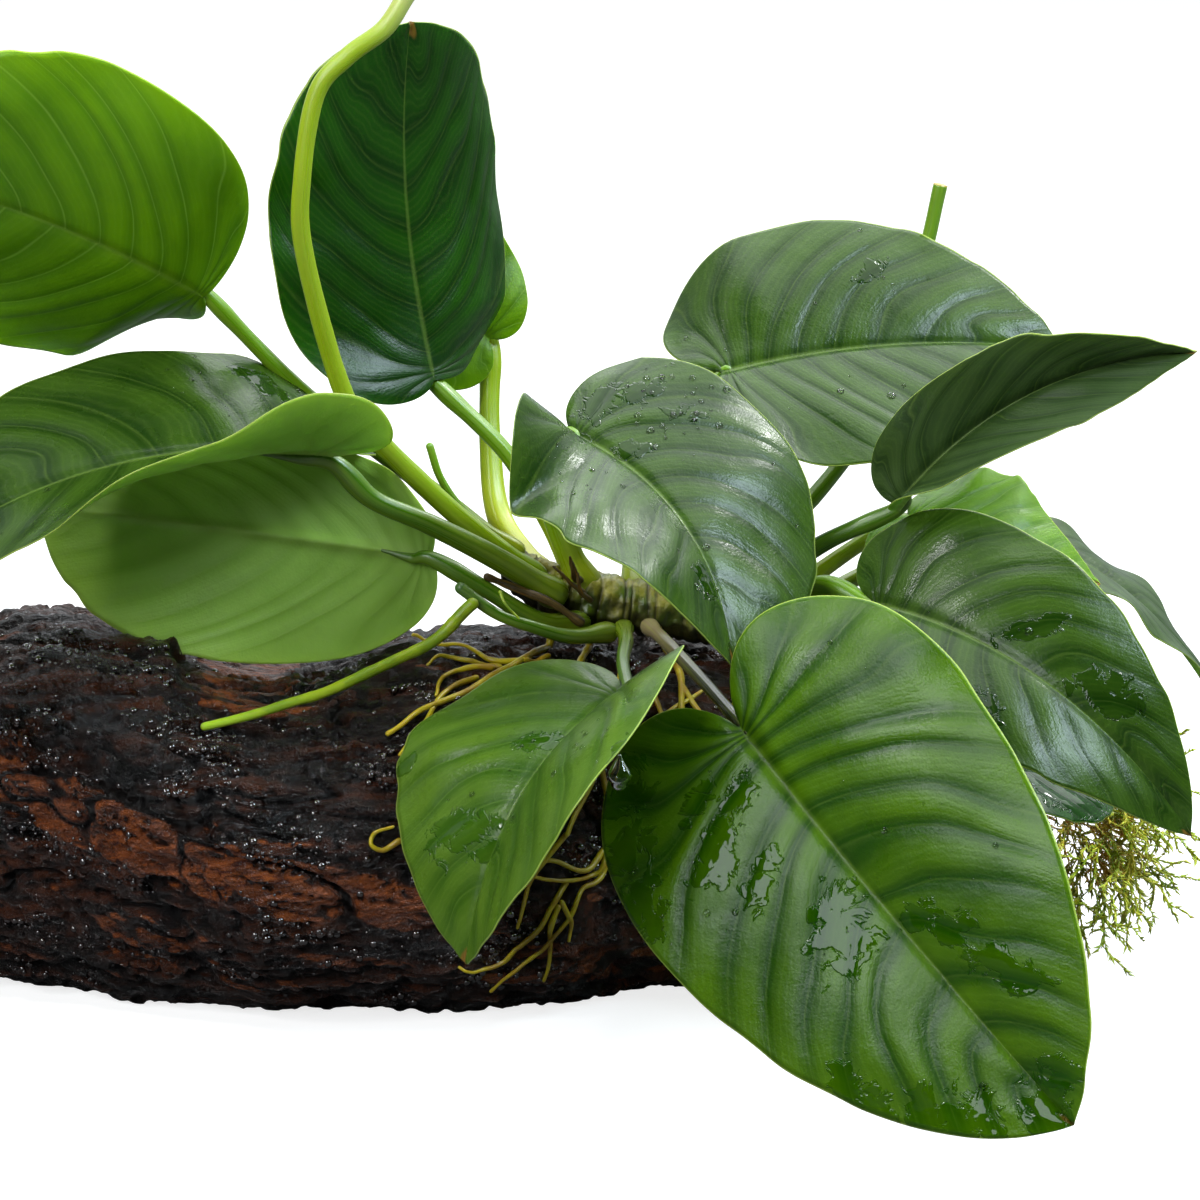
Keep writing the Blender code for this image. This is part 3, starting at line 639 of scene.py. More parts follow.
# %% Side veins as a node group
side_veins, veins_in, veins_out = new_group(
    "side_veins",
    [("Map", "Vector"), ("Veins", "Float")],
    [("Swell", "Float"), ("Vein", "Float"), ("Fine", "Float"), ("Midrib", "Float"), ("Margin", "Float"),
     ("Tip", "Float"), ("Rim", "Float")],
)
vein_tree = side_veins
map_parts = vein_tree.nodes.new("ShaderNodeSeparateXYZ")
vein_tree.links.new(veins_in.outputs["Map"], map_parts.inputs[0])
map_share, map_across = map_parts.outputs["X"], map_parts.outputs["Y"]
wobble = speckle(vein_tree, veins_in.outputs["Map"], 90.0, 2.0)
vein_count = calc(vein_tree, "MULTIPLY", map_share, veins_in.outputs["Veins"])
near_vein = calc(vein_tree, "PINGPONG", vein_count, 0.5)
off_middle = calc(vein_tree, "ABSOLUTE", calc(vein_tree, "SUBTRACT", map_across, 0.5))
out_share = calc(vein_tree, "MULTIPLY", off_middle, 2.0)
fine_count = calc(vein_tree, "MULTIPLY_ADD", vein_count, 6.0, calc(vein_tree, "MULTIPLY", wobble, 1.5))
for label, value in (
    ("Swell", ramp(vein_tree, near_vein, 0.03, 0.40)),
    ("Vein", ramp(vein_tree, near_vein, 0.0, 0.04, 1.0, 0.0)),
    ("Fine", ramp(vein_tree, calc(vein_tree, "PINGPONG", fine_count, 0.5), 0.0, 0.3, 1.0, 0.0)),
    ("Midrib", ramp(vein_tree, out_share, 0.004, 0.022, 1.0, 0.0)),
    ("Margin", ramp(vein_tree, out_share, 0.990, 0.998)),
    ("Tip", ramp(vein_tree, map_share, 0.985, 0.996)),
    ("Rim", ramp(vein_tree, out_share, 0.7, 1.0, 0.0, 0.4)),
):
    vein_tree.links.new(value, veins_out.inputs[label])
print("side_veins gives", [socket.name for socket in veins_out.inputs if socket.name])

# %% Water film as a node group
water_film, film_in, film_out = new_group(
    "water_film",
    [("Place", "Vector"), ("Wet", "Float"), ("Edge", "Float")],
    [("Film", "Float"), ("Height", "Float")],
)
coarse_edge = speckle(water_film, film_in.outputs["Place"], 8.0, 3.0, 0.6, 1.5)
swells = speckle(water_film, film_in.outputs["Place"], 4.5, 1.0)
wetness = calc(water_film, "ADD", film_in.outputs["Wet"],
               calc(water_film, "MULTIPLY", calc(water_film, "SUBTRACT", coarse_edge, 0.5), film_in.outputs["Edge"]))
water_film.links.new(ramp(water_film, wetness, 0.40, 0.415), film_out.inputs["Film"])
depth = ramp(water_film, wetness, 0.38, 0.55)
water_film.links.new(calc(water_film, "MULTIPLY", depth, calc(water_film, "ADD", swells, 0.5)), film_out.inputs["Height"])
print("water_film ready")

# %% Tissue mottling as a node group
tissue_mottle, mottle_in, mottle_out = new_group(
    "tissue_mottle",
    [("Place", "Vector"), ("Dark", "Color"), ("Light", "Color")],
    [("Color", "Color"), ("Grain", "Float")],
)
broad = speckle(tissue_mottle, mottle_in.outputs["Place"], 34.0, 4.0)
cells = put(tissue_mottle, "ShaderNodeTexVoronoi", Vector=mottle_in.outputs["Place"], Scale=1500.0)
patchy = blend(tissue_mottle, ramp(tissue_mottle, broad, 0.2, 0.7, 0.35, 1.0), mottle_in.outputs["Dark"], mottle_in.outputs["Light"])
tissue_mottle.links.new(patchy, mottle_out.inputs["Color"])
tissue_mottle.links.new(cells, mottle_out.inputs["Grain"])
print("tissue_mottle ready")

# %% [markdown]
# ## Leaf finishes
#
# A leaf has two sides. The upper one is dark green under a clear waxy skin that reflects the panels as a soft
# grey-green sheen, sharp and deep where it is wet. The underside is paler and duller. Both let some light
# through, which is what makes a leaf against the light glow: subsurface scattering gives that in a sheet this
# thin. On top of that the colour carries painted shade, darker in the valleys along the side veins, and the
# leaves that light shines through are painted paler and yellower. Leaves of one plant differ, so the recipe
# takes the colours, the wax and the number of veins.

# %% Leaf recipe
def leaf_finish(name, deep, light, veins, skin=0.4, glow=0.25, pale_vein=0.25, swell_shade=0.5):
    """A leaf finish. skin is its roughness when dry and glow how much light passes through."""
    material, tree, shader = new_material(name)
    place = put(tree, "ShaderNodeTexCoord", outlet=3)
    growth = put(tree, "ShaderNodeUVMap", settings={"uv_map": "growth_map"})
    wet = put(tree, "ShaderNodeAttribute", outlet=2, settings={"attribute_name": "wet"})
    pattern = use_group(tree, side_veins, Map=growth, Veins=float(veins))
    film = use_group(tree, water_film, Place=place, Wet=wet, Edge=1.8)
    mottle = use_group(tree, tissue_mottle, Place=place, Dark=deep, Light=light)
    # Painted shade: the colour runs towards the deep green in the valleys along the side veins, between the swells.
    shaded = blend(tree, calc(tree, "MULTIPLY_ADD", pattern["Swell"], swell_shade, 1 - swell_shade), deep,
                   mottle["Color"])
    shaded = blend(tree, pattern["Rim"], shaded, light)
    pale = paint(140, 168, 74)
    lined = blend(tree, calc(tree, "MULTIPLY", pattern["Vein"], pale_vein), shaded, pale)
    lined = blend(tree, calc(tree, "MULTIPLY", pattern["Fine"], 0.03), lined, pale)
    lined = blend(tree, calc(tree, "MULTIPLY", pattern["Midrib"], 0.16), lined, pale)
    edged = blend(tree, calc(tree, "MULTIPLY", pattern["Margin"], 0.6), lined, paint(170, 190, 90))
    tipped = blend(tree, pattern["Tip"], edged, paint(112, 84, 34))
    soaked = blend(tree, calc(tree, "MULTIPLY", film["Film"], 0.5), tipped, deep)
    tree.links.new(soaked, shader.inputs["Base Color"])
    dry = ramp(tree, speckle(tree, place, 14.0, 4.0), 0.3, 0.7, skin - 0.05, skin + 0.08)
    dry_share = calc(tree, "SUBTRACT", 1.0, film["Film"])
    tree.links.new(calc(tree, "MULTIPLY_ADD", dry, dry_share, 0.03), shader.inputs["Roughness"])
    shader.inputs["IOR"].default_value = 1.3
    shader.inputs["Subsurface Weight"].default_value = glow
    shader.inputs["Subsurface Radius"].default_value = (0.8, 1.0, 0.25)
    shader.inputs["Subsurface Scale"].default_value = 0.0022
    wrinkle = calc(tree, "MULTIPLY", speckle(tree, place, 4.5, 4.0), 1.5)
    skin_height = calc(tree, "MULTIPLY_ADD", mottle["Grain"], 0.22, wrinkle)
    skin_height = calc(tree, "MULTIPLY_ADD", pattern["Fine"], -0.10, skin_height)
    skin_height = calc(tree, "MULTIPLY", skin_height, dry_share)
    height = calc(tree, "MULTIPLY_ADD", film["Height"], 2.0, skin_height)
    bump = put(tree, "ShaderNodeBump", Height=height, Strength=0.5, Distance=0.00025)
    tree.links.new(bump, shader.inputs["Normal"])
    return material


GREENS = {
    # name: deep colour, light colour, skin, glow, pale veins, painted shade in the valleys between the swells
    "fresh": (paint(24, 60, 2), paint(74, 108, 8), 0.27, 0.22, 0.08, 0.85),
    "waxed": (paint(18, 42, 10), paint(54, 78, 24), 0.24, 0.12, 0.08, 0.7),
    "smoky": (paint(28, 48, 20), paint(60, 80, 40), 0.36, 0.08, 0.10, 0.7),
    "tender": (paint(32, 66, 12), paint(78, 106, 32), 0.27, 0.16, 0.10, 0.6),
    "deep": (paint(10, 40, 4), paint(30, 70, 8), 0.30, 0.15, 0.06, 0.7),
    # lit: paler, yellower greens painted as light shining through the leaf, on top of its real glow
    "lit": (paint(54, 92, 2), paint(92, 130, 6), 0.36, 0.45, 0.25, 0.5),
    "under": (paint(112, 146, 54), paint(146, 180, 84), 0.42, 0.35, 0.2, 0.4),
}
LOOKS = {
    # leaf: look of its upper side, look of its underside
    "front_large": ("fresh", "under"),
    "front_small": ("tender", "under"),
    "centre": ("waxed", "under"),
    "lower_right": ("waxed", "under"),
    "right": ("smoky", "under"),
    "upper_right": ("waxed", "under"),
    "back_right": ("lit", "under"),
    "far_right": ("smoky", "under"),
    "under_right": ("deep", "under"),
    "tall": ("deep", "under"),
    "back_upright": ("lit", "under"),
    "upper_left": ("lit", "under"),
    "left": ("waxed", "under"),
    "lower_left": ("deep", "under"),
}
finishes = {}


def finish_for(look, veins):
    """The finish of this look with this many veins, made the first time it is asked for."""
    key = f"leaf_{look}_{veins}_veins"
    if key not in finishes:
        deep, light, skin, glow, pale_vein, swell_shade = GREENS[look]
        finishes[key] = leaf_finish(key, deep, light, veins, skin, glow, pale_vein, swell_shade)
    return finishes[key]


print(len(GREENS), "leaf looks")

# %% Where water lies on each leaf
# For each pool: left (0) or right (1) half, share, t, and how far it reaches in millimetres
POOLS = {
    "front_large": [(1, 0.193, 0.85, 8), (1, 0.249, 0.8, 8), (1, 0.286, 0.87, 8), (1, 0.311, 0.89, 6),
                    (1, 0.156, 0.92, 6), (1, 0.286, 0.32, 6), (1, 0.386, 0.42, 9), (1, 0.349, 0.2, 7),
                    (1, 0.467, 0.35, 7), (1, 0.604, 0.23, 9), (1, 0.641, 0.27, 9), (1, 0.623, 0.95, 7),
                    (1, 0.666, 1.0, 8), (1, 0.747, 0.97, 9), (1, 0.847, 0.94, 9), (1, 0.959, 0.76, 9),
                    (0, 0.909, 0.77, 6), (0, 0.778, 0.61, 7), (0, 0.766, 0.49, 7), (0, 0.72, 0.3, 7),
                    (0, 0.70, 0.12, 7), (1, 0.797, 0.94, 8)],
    "front_small": [(1, 0.753, 0.39, 9), (1, 0.704, 0.62, 7), (1, 0.809, 0.05, 6), (1, 0.535, 0.14, 5),
                    (1, 0.517, 0.06, 4), (1, 0.43, 0.94, 4), (0, 0.293, 1.0, 5)],
    "lower_right": [(0, 0.585, 0.29, 5), (0, 0.585, 0.41, 5), (0, 0.728, 0.43, 7), (0, 0.753, 0.53, 7),
                    (1, 0.567, 0.57, 5)],
    "centre": [(0, 0.181, 0.32, 7), (0, 0.255, 0.44, 6), (0, 0.342, 0.47, 5), (0, 0.442, 0.08, 5),
               (1, 0.834, 0.32, 6), (1, 0.803, 0.25, 4), (1, 0.311, 0.03, 4)],
    "left": [(1, 0.293, 0.7, 6), (1, 0.305, 0.76, 5), (1, 0.28, 0.67, 5)],
    "upper_right": [(0, 0.56, 0.63, 5)],
    "under_right": [(1, 0.691, 0.56, 14), (1, 0.766, 0.66, 12)],
}

for name, leaf in LEAVES.items():
    upper, lower = (finish_for(look, leaf.veins) for look in LOOKS[name])
    blade = sculpted_leaf(name, leaf, upper, lower, POOLS.get(name, ()))
    settle(blade, "leaf", "leaf_" + name)
print(len(finishes), "leaf finishes")

# %% [markdown]
# ## Stalks
#
# A leaf stalk is a smooth green rod with a shallow groove down its upper side. It flares where it clasps the
# rhizome, and just before the blade it has a swollen, paler joint that turns the leaf to the light. The stalk
# then runs on under the blade as the ridge of the midrib. Each stalk is one tube: the route decides where it
# goes, and a rule for the radius gives it its foot, its joint and its thin end under the blade.

# %% Where the stalks run
# The route from the rhizome to just before the leaf, and the radius at the foot and below the joint
LEAF_STALKS = {
    "upper_left": ([(-19, 19, 110), (-33, 21, 122), (-49, 23, 134.5), (-80, 21, 159.5)], 2.9, 2.1),
    "left": ([(-13, 5, 108), (-28, -5, 120), (-45, -13, 131), (-60, -18, 139)], 3.4, 2.6),
    "lower_left": ([(-6, 7, 99), (-17, -1, 102), (-31, -3, 111)], 2.6, 2.3),
    "back_upright": ([(-16, 24, 107), (-28, 42, 120), (-31, 53, 141)], 3.8, 2.8),
    "tall": ([(-6, 24, 104), (-14, 28, 122), (-26, 28, 142)], 2.8, 2.2),
    "centre": ([(-4, 13, 108), (-9, 12, 119), (-13, 8, 134)], 4.0, 2.4),
    "upper_right": ([(10, 18, 105), (10, 26, 115), (17, 30, 137)], 3.4, 2.2),
    "right": ([(38, 12, 98), (43, 9, 108), (60, 3, 122)], 3.3, 2.2),
    "back_right": ([(47, 17, 100), (58, 21, 108), (72, 25, 117)], 2.7, 2.1),
    "lower_right": ([(44, 6, 99), (51, -3, 108), (60, -12, 114)], 3.8, 2.5),
    "front_large": ([(13.5, 6, 98), (18, -12, 98), (27, -38, 94.5)], 1.9, 1.6),
    "front_small": ([(6.5, 6, 97.5), (7, -10, 98), (6, -32, 98)], 2.0, 1.6),
    "far_right": ([(50, 18, 94), (68, 34, 103), (96, 43, 113)], 2.5, 2.0),
    "under_right": ([(41, 3, 93), (54, -10, 91), (74, -21, 80)], 2.3, 1.8),
}
SHOOTS = {
    "flower_stalk": ([(-18, 8, 112), (-40, 4, 131), (-60.5, -3, 153.5), (-68.5, -6, 167),
                      (-77, -12, 203.5), (-77, -14, 223), (-73, -14, 244.5), (-65, -13, 254),
                      (-55.5, -11, 261), (-50, -10, 269), (-46.5, -9.4, 274)], 3.0, 2.4),
    "cut_stalk": ([(30, 20, 100), (40, 30, 112), (60, 44, 126), (79, 60, 150),
                   (91, 70, 187), (96, 71, 210)], 2.6, 2.0),
    "young_shoot": ([(-23, 13, 118), (-36, 11, 128), (-43, 11, 138), (-46, 11, 147)], 2.0, 1.1),
    "side_shoot": ([(2, 4, 97), (-8, -6, 98.5), (-19, -12, 103), (-28, -14, 107),
                    (-37, -15, 114)], 2.3, 1.6),
}
print(len(LEAF_STALKS), "leaf stalks and", len(SHOOTS), "shoots")

# %% Stalk finish
def stalk_finish(name, foot, head, tip, gloss=0.32, end=None):
    """A green rod whose colour runs from foot to head to tip along its map, with fine lengthwise streaks."""
    material, tree, shader = new_material(name)
    place = put(tree, "ShaderNodeTexCoord", outlet=3)
    growth = put(tree, "ShaderNodeUVMap", settings={"uv_map": "growth_map"})
    parts = tree.nodes.new("ShaderNodeSeparateXYZ")
    tree.links.new(growth, parts.inputs[0])
    lower_half = blend(tree, ramp(tree, parts.outputs["Y"], 0.0, 0.45), foot, head)
    along = blend(tree, ramp(tree, parts.outputs["Y"], 0.72, 0.98), lower_half, tip)
    streaks = put(tree, "ShaderNodeMapping", Vector=growth, Scale=(16.0, 2.2, 1.0))
    streak = put(tree, "ShaderNodeTexNoise", Vector=streaks, Scale=1.0, Detail=3.0)
    mottle = use_group(tree, tissue_mottle, Place=place, Dark=paint(120, 120, 120), Light=paint(188, 188, 188))
    toned = blend(tree, 0.5, along, mottle["Color"], "SOFT_LIGHT")
    streaked = blend(tree, ramp(tree, streak, 0.35, 0.75, 0.0, 0.18), toned, paint(176, 190, 60))
    cut = blend(tree, ramp(tree, parts.outputs["Y"], 0.9965, 0.9985), streaked, end or tip)
    tree.links.new(cut, shader.inputs["Base Color"])
    tree.links.new(ramp(tree, streak, 0.3, 0.7, gloss - 0.08, gloss + 0.1), shader.inputs["Roughness"])
    height = calc(tree, "ADD", streak, calc(tree, "MULTIPLY", mottle["Grain"], 0.2))
    tree.links.new(put(tree, "ShaderNodeBump", Height=height, Strength=0.3, Distance=0.0003),
                   shader.inputs["Normal"])
    shader.inputs["Subsurface Weight"].default_value = 0.2
    shader.inputs["Subsurface Radius"].default_value = (0.5, 1.0, 0.2)
    shader.inputs["Subsurface Scale"].default_value = 0.002
    return material


stalk_green = stalk_finish("stalk_green", paint(126, 138, 22), paint(92, 132, 18), paint(100, 140, 30))
# Painted shade and light: the next two are darker and lighter copies of the green stalk, for stalks in shade and stalks
# in the light.
stalk_dark = stalk_finish("stalk_dark", paint(92, 112, 18), paint(64, 102, 20), paint(70, 100, 46))
stalk_bright = stalk_finish("stalk_bright", paint(172, 176, 30), paint(134, 160, 20), paint(84, 130, 16))
stalk_brown = stalk_finish("stalk_brown", paint(132, 118, 88), paint(44, 46, 32), paint(48, 60, 30), 0.16)
flower_green = stalk_finish("flower_green", paint(112, 140, 12), paint(142, 166, 24), paint(200, 206, 124))
cut_green = stalk_finish("cut_green", paint(126, 138, 22), paint(92, 132, 18), paint(100, 140, 30),
                         end=paint(176, 150, 84))
STALK_LOOKS = {"left": stalk_dark, "lower_left": stalk_dark, "right": stalk_dark, "front_large": stalk_brown,
               "back_upright": stalk_bright, "back_right": stalk_bright, "under_right": stalk_dark,
               "flower_stalk": flower_green, "side_shoot": stalk_dark, "front_small": stalk_dark,
               "cut_stalk": cut_green}
print("stalk finishes:", sorted({m.name for m in STALK_LOOKS.values()} | {stalk_green.name}))

# %% Grow the stalks
STALK_SIDES = 26
STALK_STEP = 0.9
UNDER_SHARES = (0.29, 0.39)
UNDER_DROPS = (2.5, 1.3)


def stalk_piece(name, route, foot, head, leaf=None, flat_end=False):
    """A grooved stalk. With a leaf, it gets a joint below the blade and runs on under its midrib."""
    route = [np.array(p, float) for p in route]
    if leaf:
        _, line, _, up = across_leaf(leaf)
        route.append(np.array(leaf.base, float) - up * (head + 1.3) - line * head * 0.4)
        midrib, upwards, _ = bent(leaf, 0, np.array(UNDER_SHARES), np.array([0.0]))
        route += list(midrib[:, 0] - upwards[:, 0] * np.array(UNDER_DROPS)[:, None])
    total = sum(np.linalg.norm(b - a) for a, b in zip(route, route[1:]))
    path = smooth_path(route, int(total / STALK_STEP))
    steps = np.linalg.norm(np.diff(path, axis=0), axis=1)
    gone = np.concatenate([[0], np.cumsum(steps)])
    left = gone[-1] - gone
    radius = foot + (head - foot) * smoothstep(0, 0.8 * gone[-1], gone)
    radius = radius + 0.35 * foot * (1 - smoothstep(0, 9, gone))
    if leaf:
        under = np.linalg.norm(route[-1] - route[-3])
        joint = np.exp(-(((left - under - 7) / 5.0) ** 2))
        radius = radius * (1 + 0.16 * joint) * (0.22 + 0.78 * smoothstep(-1, under + 3, left))
    radius = radius * (1 + 0.025 * grain(path / 7.0))

    def groove(turn, along):
        depth = 0.16 * head * (1 - smoothstep(0.6, 0.85, along))
        return -depth * np.exp(-(((turn - np.pi / 2) / 0.35) ** 2)) + 0.006 * head * np.sin(9 * turn)

    look = STALK_LOOKS.get(name, stalk_green)
    verts, faces, uv = tube_arrays(path, radius, STALK_SIDES, groove, flat_end)
    return new_piece("grown_" + ("" if leaf is None else "stalk_") + name, verts, faces, [look], uv=uv)


for name, (route, foot, head) in LEAF_STALKS.items():
    settle(stalk_piece(name, route, foot, head, LEAVES[name]), "stalk", "stalk_" + name)

for name, (route, foot, head) in SHOOTS.items():
    shoot = stalk_piece(name, route, foot, head, flat_end=name == "cut_stalk")
    settle(shoot, "flower" if name == "flower_stalk" else "stalk", name)

# %% [markdown]
# ## The driftwood log
#
# Bogwood has lain in water for years. The soft wood between the year rings has rotted out, so its surface is
# a pile of long ledges with deep cracks under them, running slightly downhill along the log. Where the dark
# rind has come off, red-brown wood shows. All of it is a rule: stations along the log give its thickness, and
# layers of noise, stretched along the fibres, give lumps, ledges, cracks and grit. Sculpting it in the mesh,
# not only in the material, gives the edge of the log its broken line.

# %% Shape of the log
# One row for each station along the log: x, centre y, centre z, half depth, half height
LOG_STATIONS = np.array([
    (-216, 22, 47, 14, 16), (-209, 21, 46, 31, 32), (-190, 19, 45, 41, 43), (-150, 15, 46, 49, 49),
    (-115, 10, 43, 60, 47), (-88, 8, 40, 67, 45), (-45, 9, 43, 65, 50), (-15, 12, 42, 60, 50),
    (12, 16, 43, 46, 48), (45, 18, 44, 40, 45), (78, 18, 43, 33, 38), (102, 18, 41, 24, 29),
    (112, 18, 40, 11, 13),
], float)
LOG_SQUARENESS = 2.5
LOG_LUMP = 5.0
LOG_LUMP_SIZE = 46.0
LOG_LUMP_STRETCH = 0.4
LOG_FULL_HEIGHT = 30.0
FIBRE_SLOPE = 0.17


def log_stations(x):
    """Centre y, centre z, half depth and half height at each x."""
    i = np.clip(np.searchsorted(LOG_STATIONS[:, 0], x) - 1, 0, len(LOG_STATIONS) - 2)
    low, high = LOG_STATIONS[i], LOG_STATIONS[i + 1]
    straight = (x - low[:, 0]) / (high[:, 0] - low[:, 0])
    t = ((smoothstep(0, 1, straight) + straight) / 2)[:, None]
    return (low[:, 1:] + (high[:, 1:] - low[:, 1:]) * t).T


def log_surface(x, turn):
    """The plain log at each x and turn (degrees round from the top towards the front), and the way out of it."""
    y, z, depth, height = log_stations(x)
    c, s = np.cos(np.radians(turn)), np.sin(np.radians(turn))
    reach = (np.abs(s) ** LOG_SQUARENESS + np.abs(c) ** LOG_SQUARENESS) ** (-1 / LOG_SQUARENESS)
    out = np.stack([np.zeros_like(x), -s * reach * depth, c * reach * height], axis=-1)
    samples = np.stack([x * LOG_LUMP_STRETCH, out[:, 1], out[:, 2]], axis=-1) / LOG_LUMP_SIZE
    lump = LOG_LUMP * np.array([noise.noise(p) for p in samples.tolist()]) * np.minimum(1, height / LOG_FULL_HEIGHT)
    way = unit(out)
    middle = np.stack([x, y, z], axis=-1)
    return middle + out + way * lump[:, None], way


def log_wear(points):
    """Height added to the log at each point, how far it is down a crack, and how bare of rind it is."""
    x, y, z = points.T
    fall = z + FIBRE_SLOPE * x

    def fibres(length, width, seed, layers=2):
        stretched = np.stack([x / length, y / width, fall / width], axis=-1)
        return layered_grain(stretched, layers, seed)

    warp = 7.0 * fibres(60, 26, 3) + 1.6 * fibres(14, 7, 4)
    ledge = (fall + 0.35 * y + warp) / 15.0
    step = ledge - np.floor(ledge)
    ledges = 3.4 * (step**1.6 - smoothstep(0.88, 1.0, step)) * (0.55 + 0.45 * fibres(70, 30, 5))
    crack = np.exp(-((fibres(46, 10, 6) / 0.10) ** 2)) * smoothstep(-0.25, 0.25, fibres(50, 22, 7))
    fine_crack = np.exp(-((fibres(15, 2.6, 8) / 0.17) ** 2)) * smoothstep(-0.5, 0.1, fibres(30, 14, 9))
    band = 1.25 * np.exp(-(((z - 66 + 0.26 * (x + 162)) / 10.0) ** 2)) * smoothstep(-20, -62, x)
    lower_band = 0.45 * np.exp(-(((z - 24 + 0.06 * (x + 120)) / 14.0) ** 2))
    high_band = 0.7 * np.exp(-(((z - 86) / 7.0) ** 2)) * smoothstep(-112, -104, x) * smoothstep(-70, -90, x)
    bare = np.maximum.reduce([band, lower_band, high_band]) + 0.5 * fibres(52, 5, 10, 3)
    bare = smoothstep(0.45, 0.75, bare) * (1 - crack) * (1 - 0.6 * fine_crack)
    slab_edge = x + 3.5 * grain(points / 6.0, 11) + 2.0 * grain(points / 2.6, 12)
    slab = smoothstep(-111, -116, slab_edge) * smoothstep(66, 73, fall + 19 + 3 * grain(points / 9.0, 13))
    bubbles = layered_grain(points / 3.2, 2, 14)
    height = ledges - 4.0 * crack - 1.5 * fine_crack + 5.0 * slab
    height = height + 1.1 * fibres(9, 2.2, 15) * (1 - 0.3 * bare) + 0.75 * bubbles * (1 - bare)
    return height - 1.2, np.maximum(crack, 0.8 * fine_crack), bare


probe, _ = log_surface(np.array([-100.0]), np.array([60.0]))
print("a point on the log's front:", probe[0].round(1), "mm")

# %% Driftwood finish
def driftwood_finish():
    """Wet black rind with red-brown wood under it, and painted shade in its cracks."""
    material, tree, shader = new_material("wet_driftwood")
    place = put(tree, "ShaderNodeTexCoord", outlet=3)
    turned = put(tree, "ShaderNodeMapping", Vector=place, Rotation=(0.0, math.atan(FIBRE_SLOPE), 0.0))
    along = put(tree, "ShaderNodeMapping", Vector=turned, Scale=(0.07, 1.0, 1.0))
    bare = put(tree, "ShaderNodeAttribute", outlet=2, settings={"attribute_name": "bare"})
    crack = put(tree, "ShaderNodeAttribute", outlet=2, settings={"attribute_name": "crack"})
    fibre = speckle(tree, along, 1.6, 5.0, 0.65)
    coarse_fibre = speckle(tree, along, 6.0, 4.0, 0.6)
    grit = speckle(tree, place, 1.1, 4.0, 0.6)
    beads = put(tree, "ShaderNodeTexVoronoi", Vector=along, Scale=420.0)
    rind = blend(tree, ramp(tree, grit, 0.35, 0.75), paint(9, 6, 5), paint(34, 20, 15))
    rind = blend(tree, ramp(tree, coarse_fibre, 0.42, 0.68, 0.0, 0.8), rind, paint(78, 42, 25))
    wood = blend(tree, ramp(tree, fibre, 0.3, 0.7), paint(62, 27, 13), paint(146, 78, 38))
    wood = blend(tree, ramp(tree, coarse_fibre, 0.35, 0.55, 0.75, 0.0), wood, paint(34, 16, 10))
    peeled = calc(tree, "MULTIPLY_ADD", fibre, 0.35, bare)
    mixed = blend(tree, ramp(tree, peeled, 0.35, 0.8), rind, wood)
    # Painted shade: the cracks are painted almost black, as the shade down in them.
    shaded = blend(tree, ramp(tree, crack, 0.15, 0.8, 0.0, 0.94), mixed, paint(4, 3, 3))
    tree.links.new(shaded, shader.inputs["Base Color"])
    damp = ramp(tree, speckle(tree, place, 17.0, 4.0), 0.38, 0.60, 0.08, 0.34)
    tree.links.new(calc(tree, "MULTIPLY_ADD", bare, 0.12, damp), shader.inputs["Roughness"])
    shader.inputs["IOR"].default_value = 1.5
    bumps = calc(tree, "MULTIPLY_ADD", fibre, 1.0, calc(tree, "MULTIPLY", grit, 1.5))
    bumps = calc(tree, "MULTIPLY_ADD", beads, -0.5, bumps)
    tree.links.new(put(tree, "ShaderNodeBump", Height=bumps, Strength=1.0, Distance=0.0018),
                   shader.inputs["Normal"])
    return material


wet_driftwood = driftwood_finish()
print("driftwood finish ready")

# %% Carve the log
LOG_ROWS = 395
LOG_COLUMNS = 232
LOG_CAP_RINGS = 9


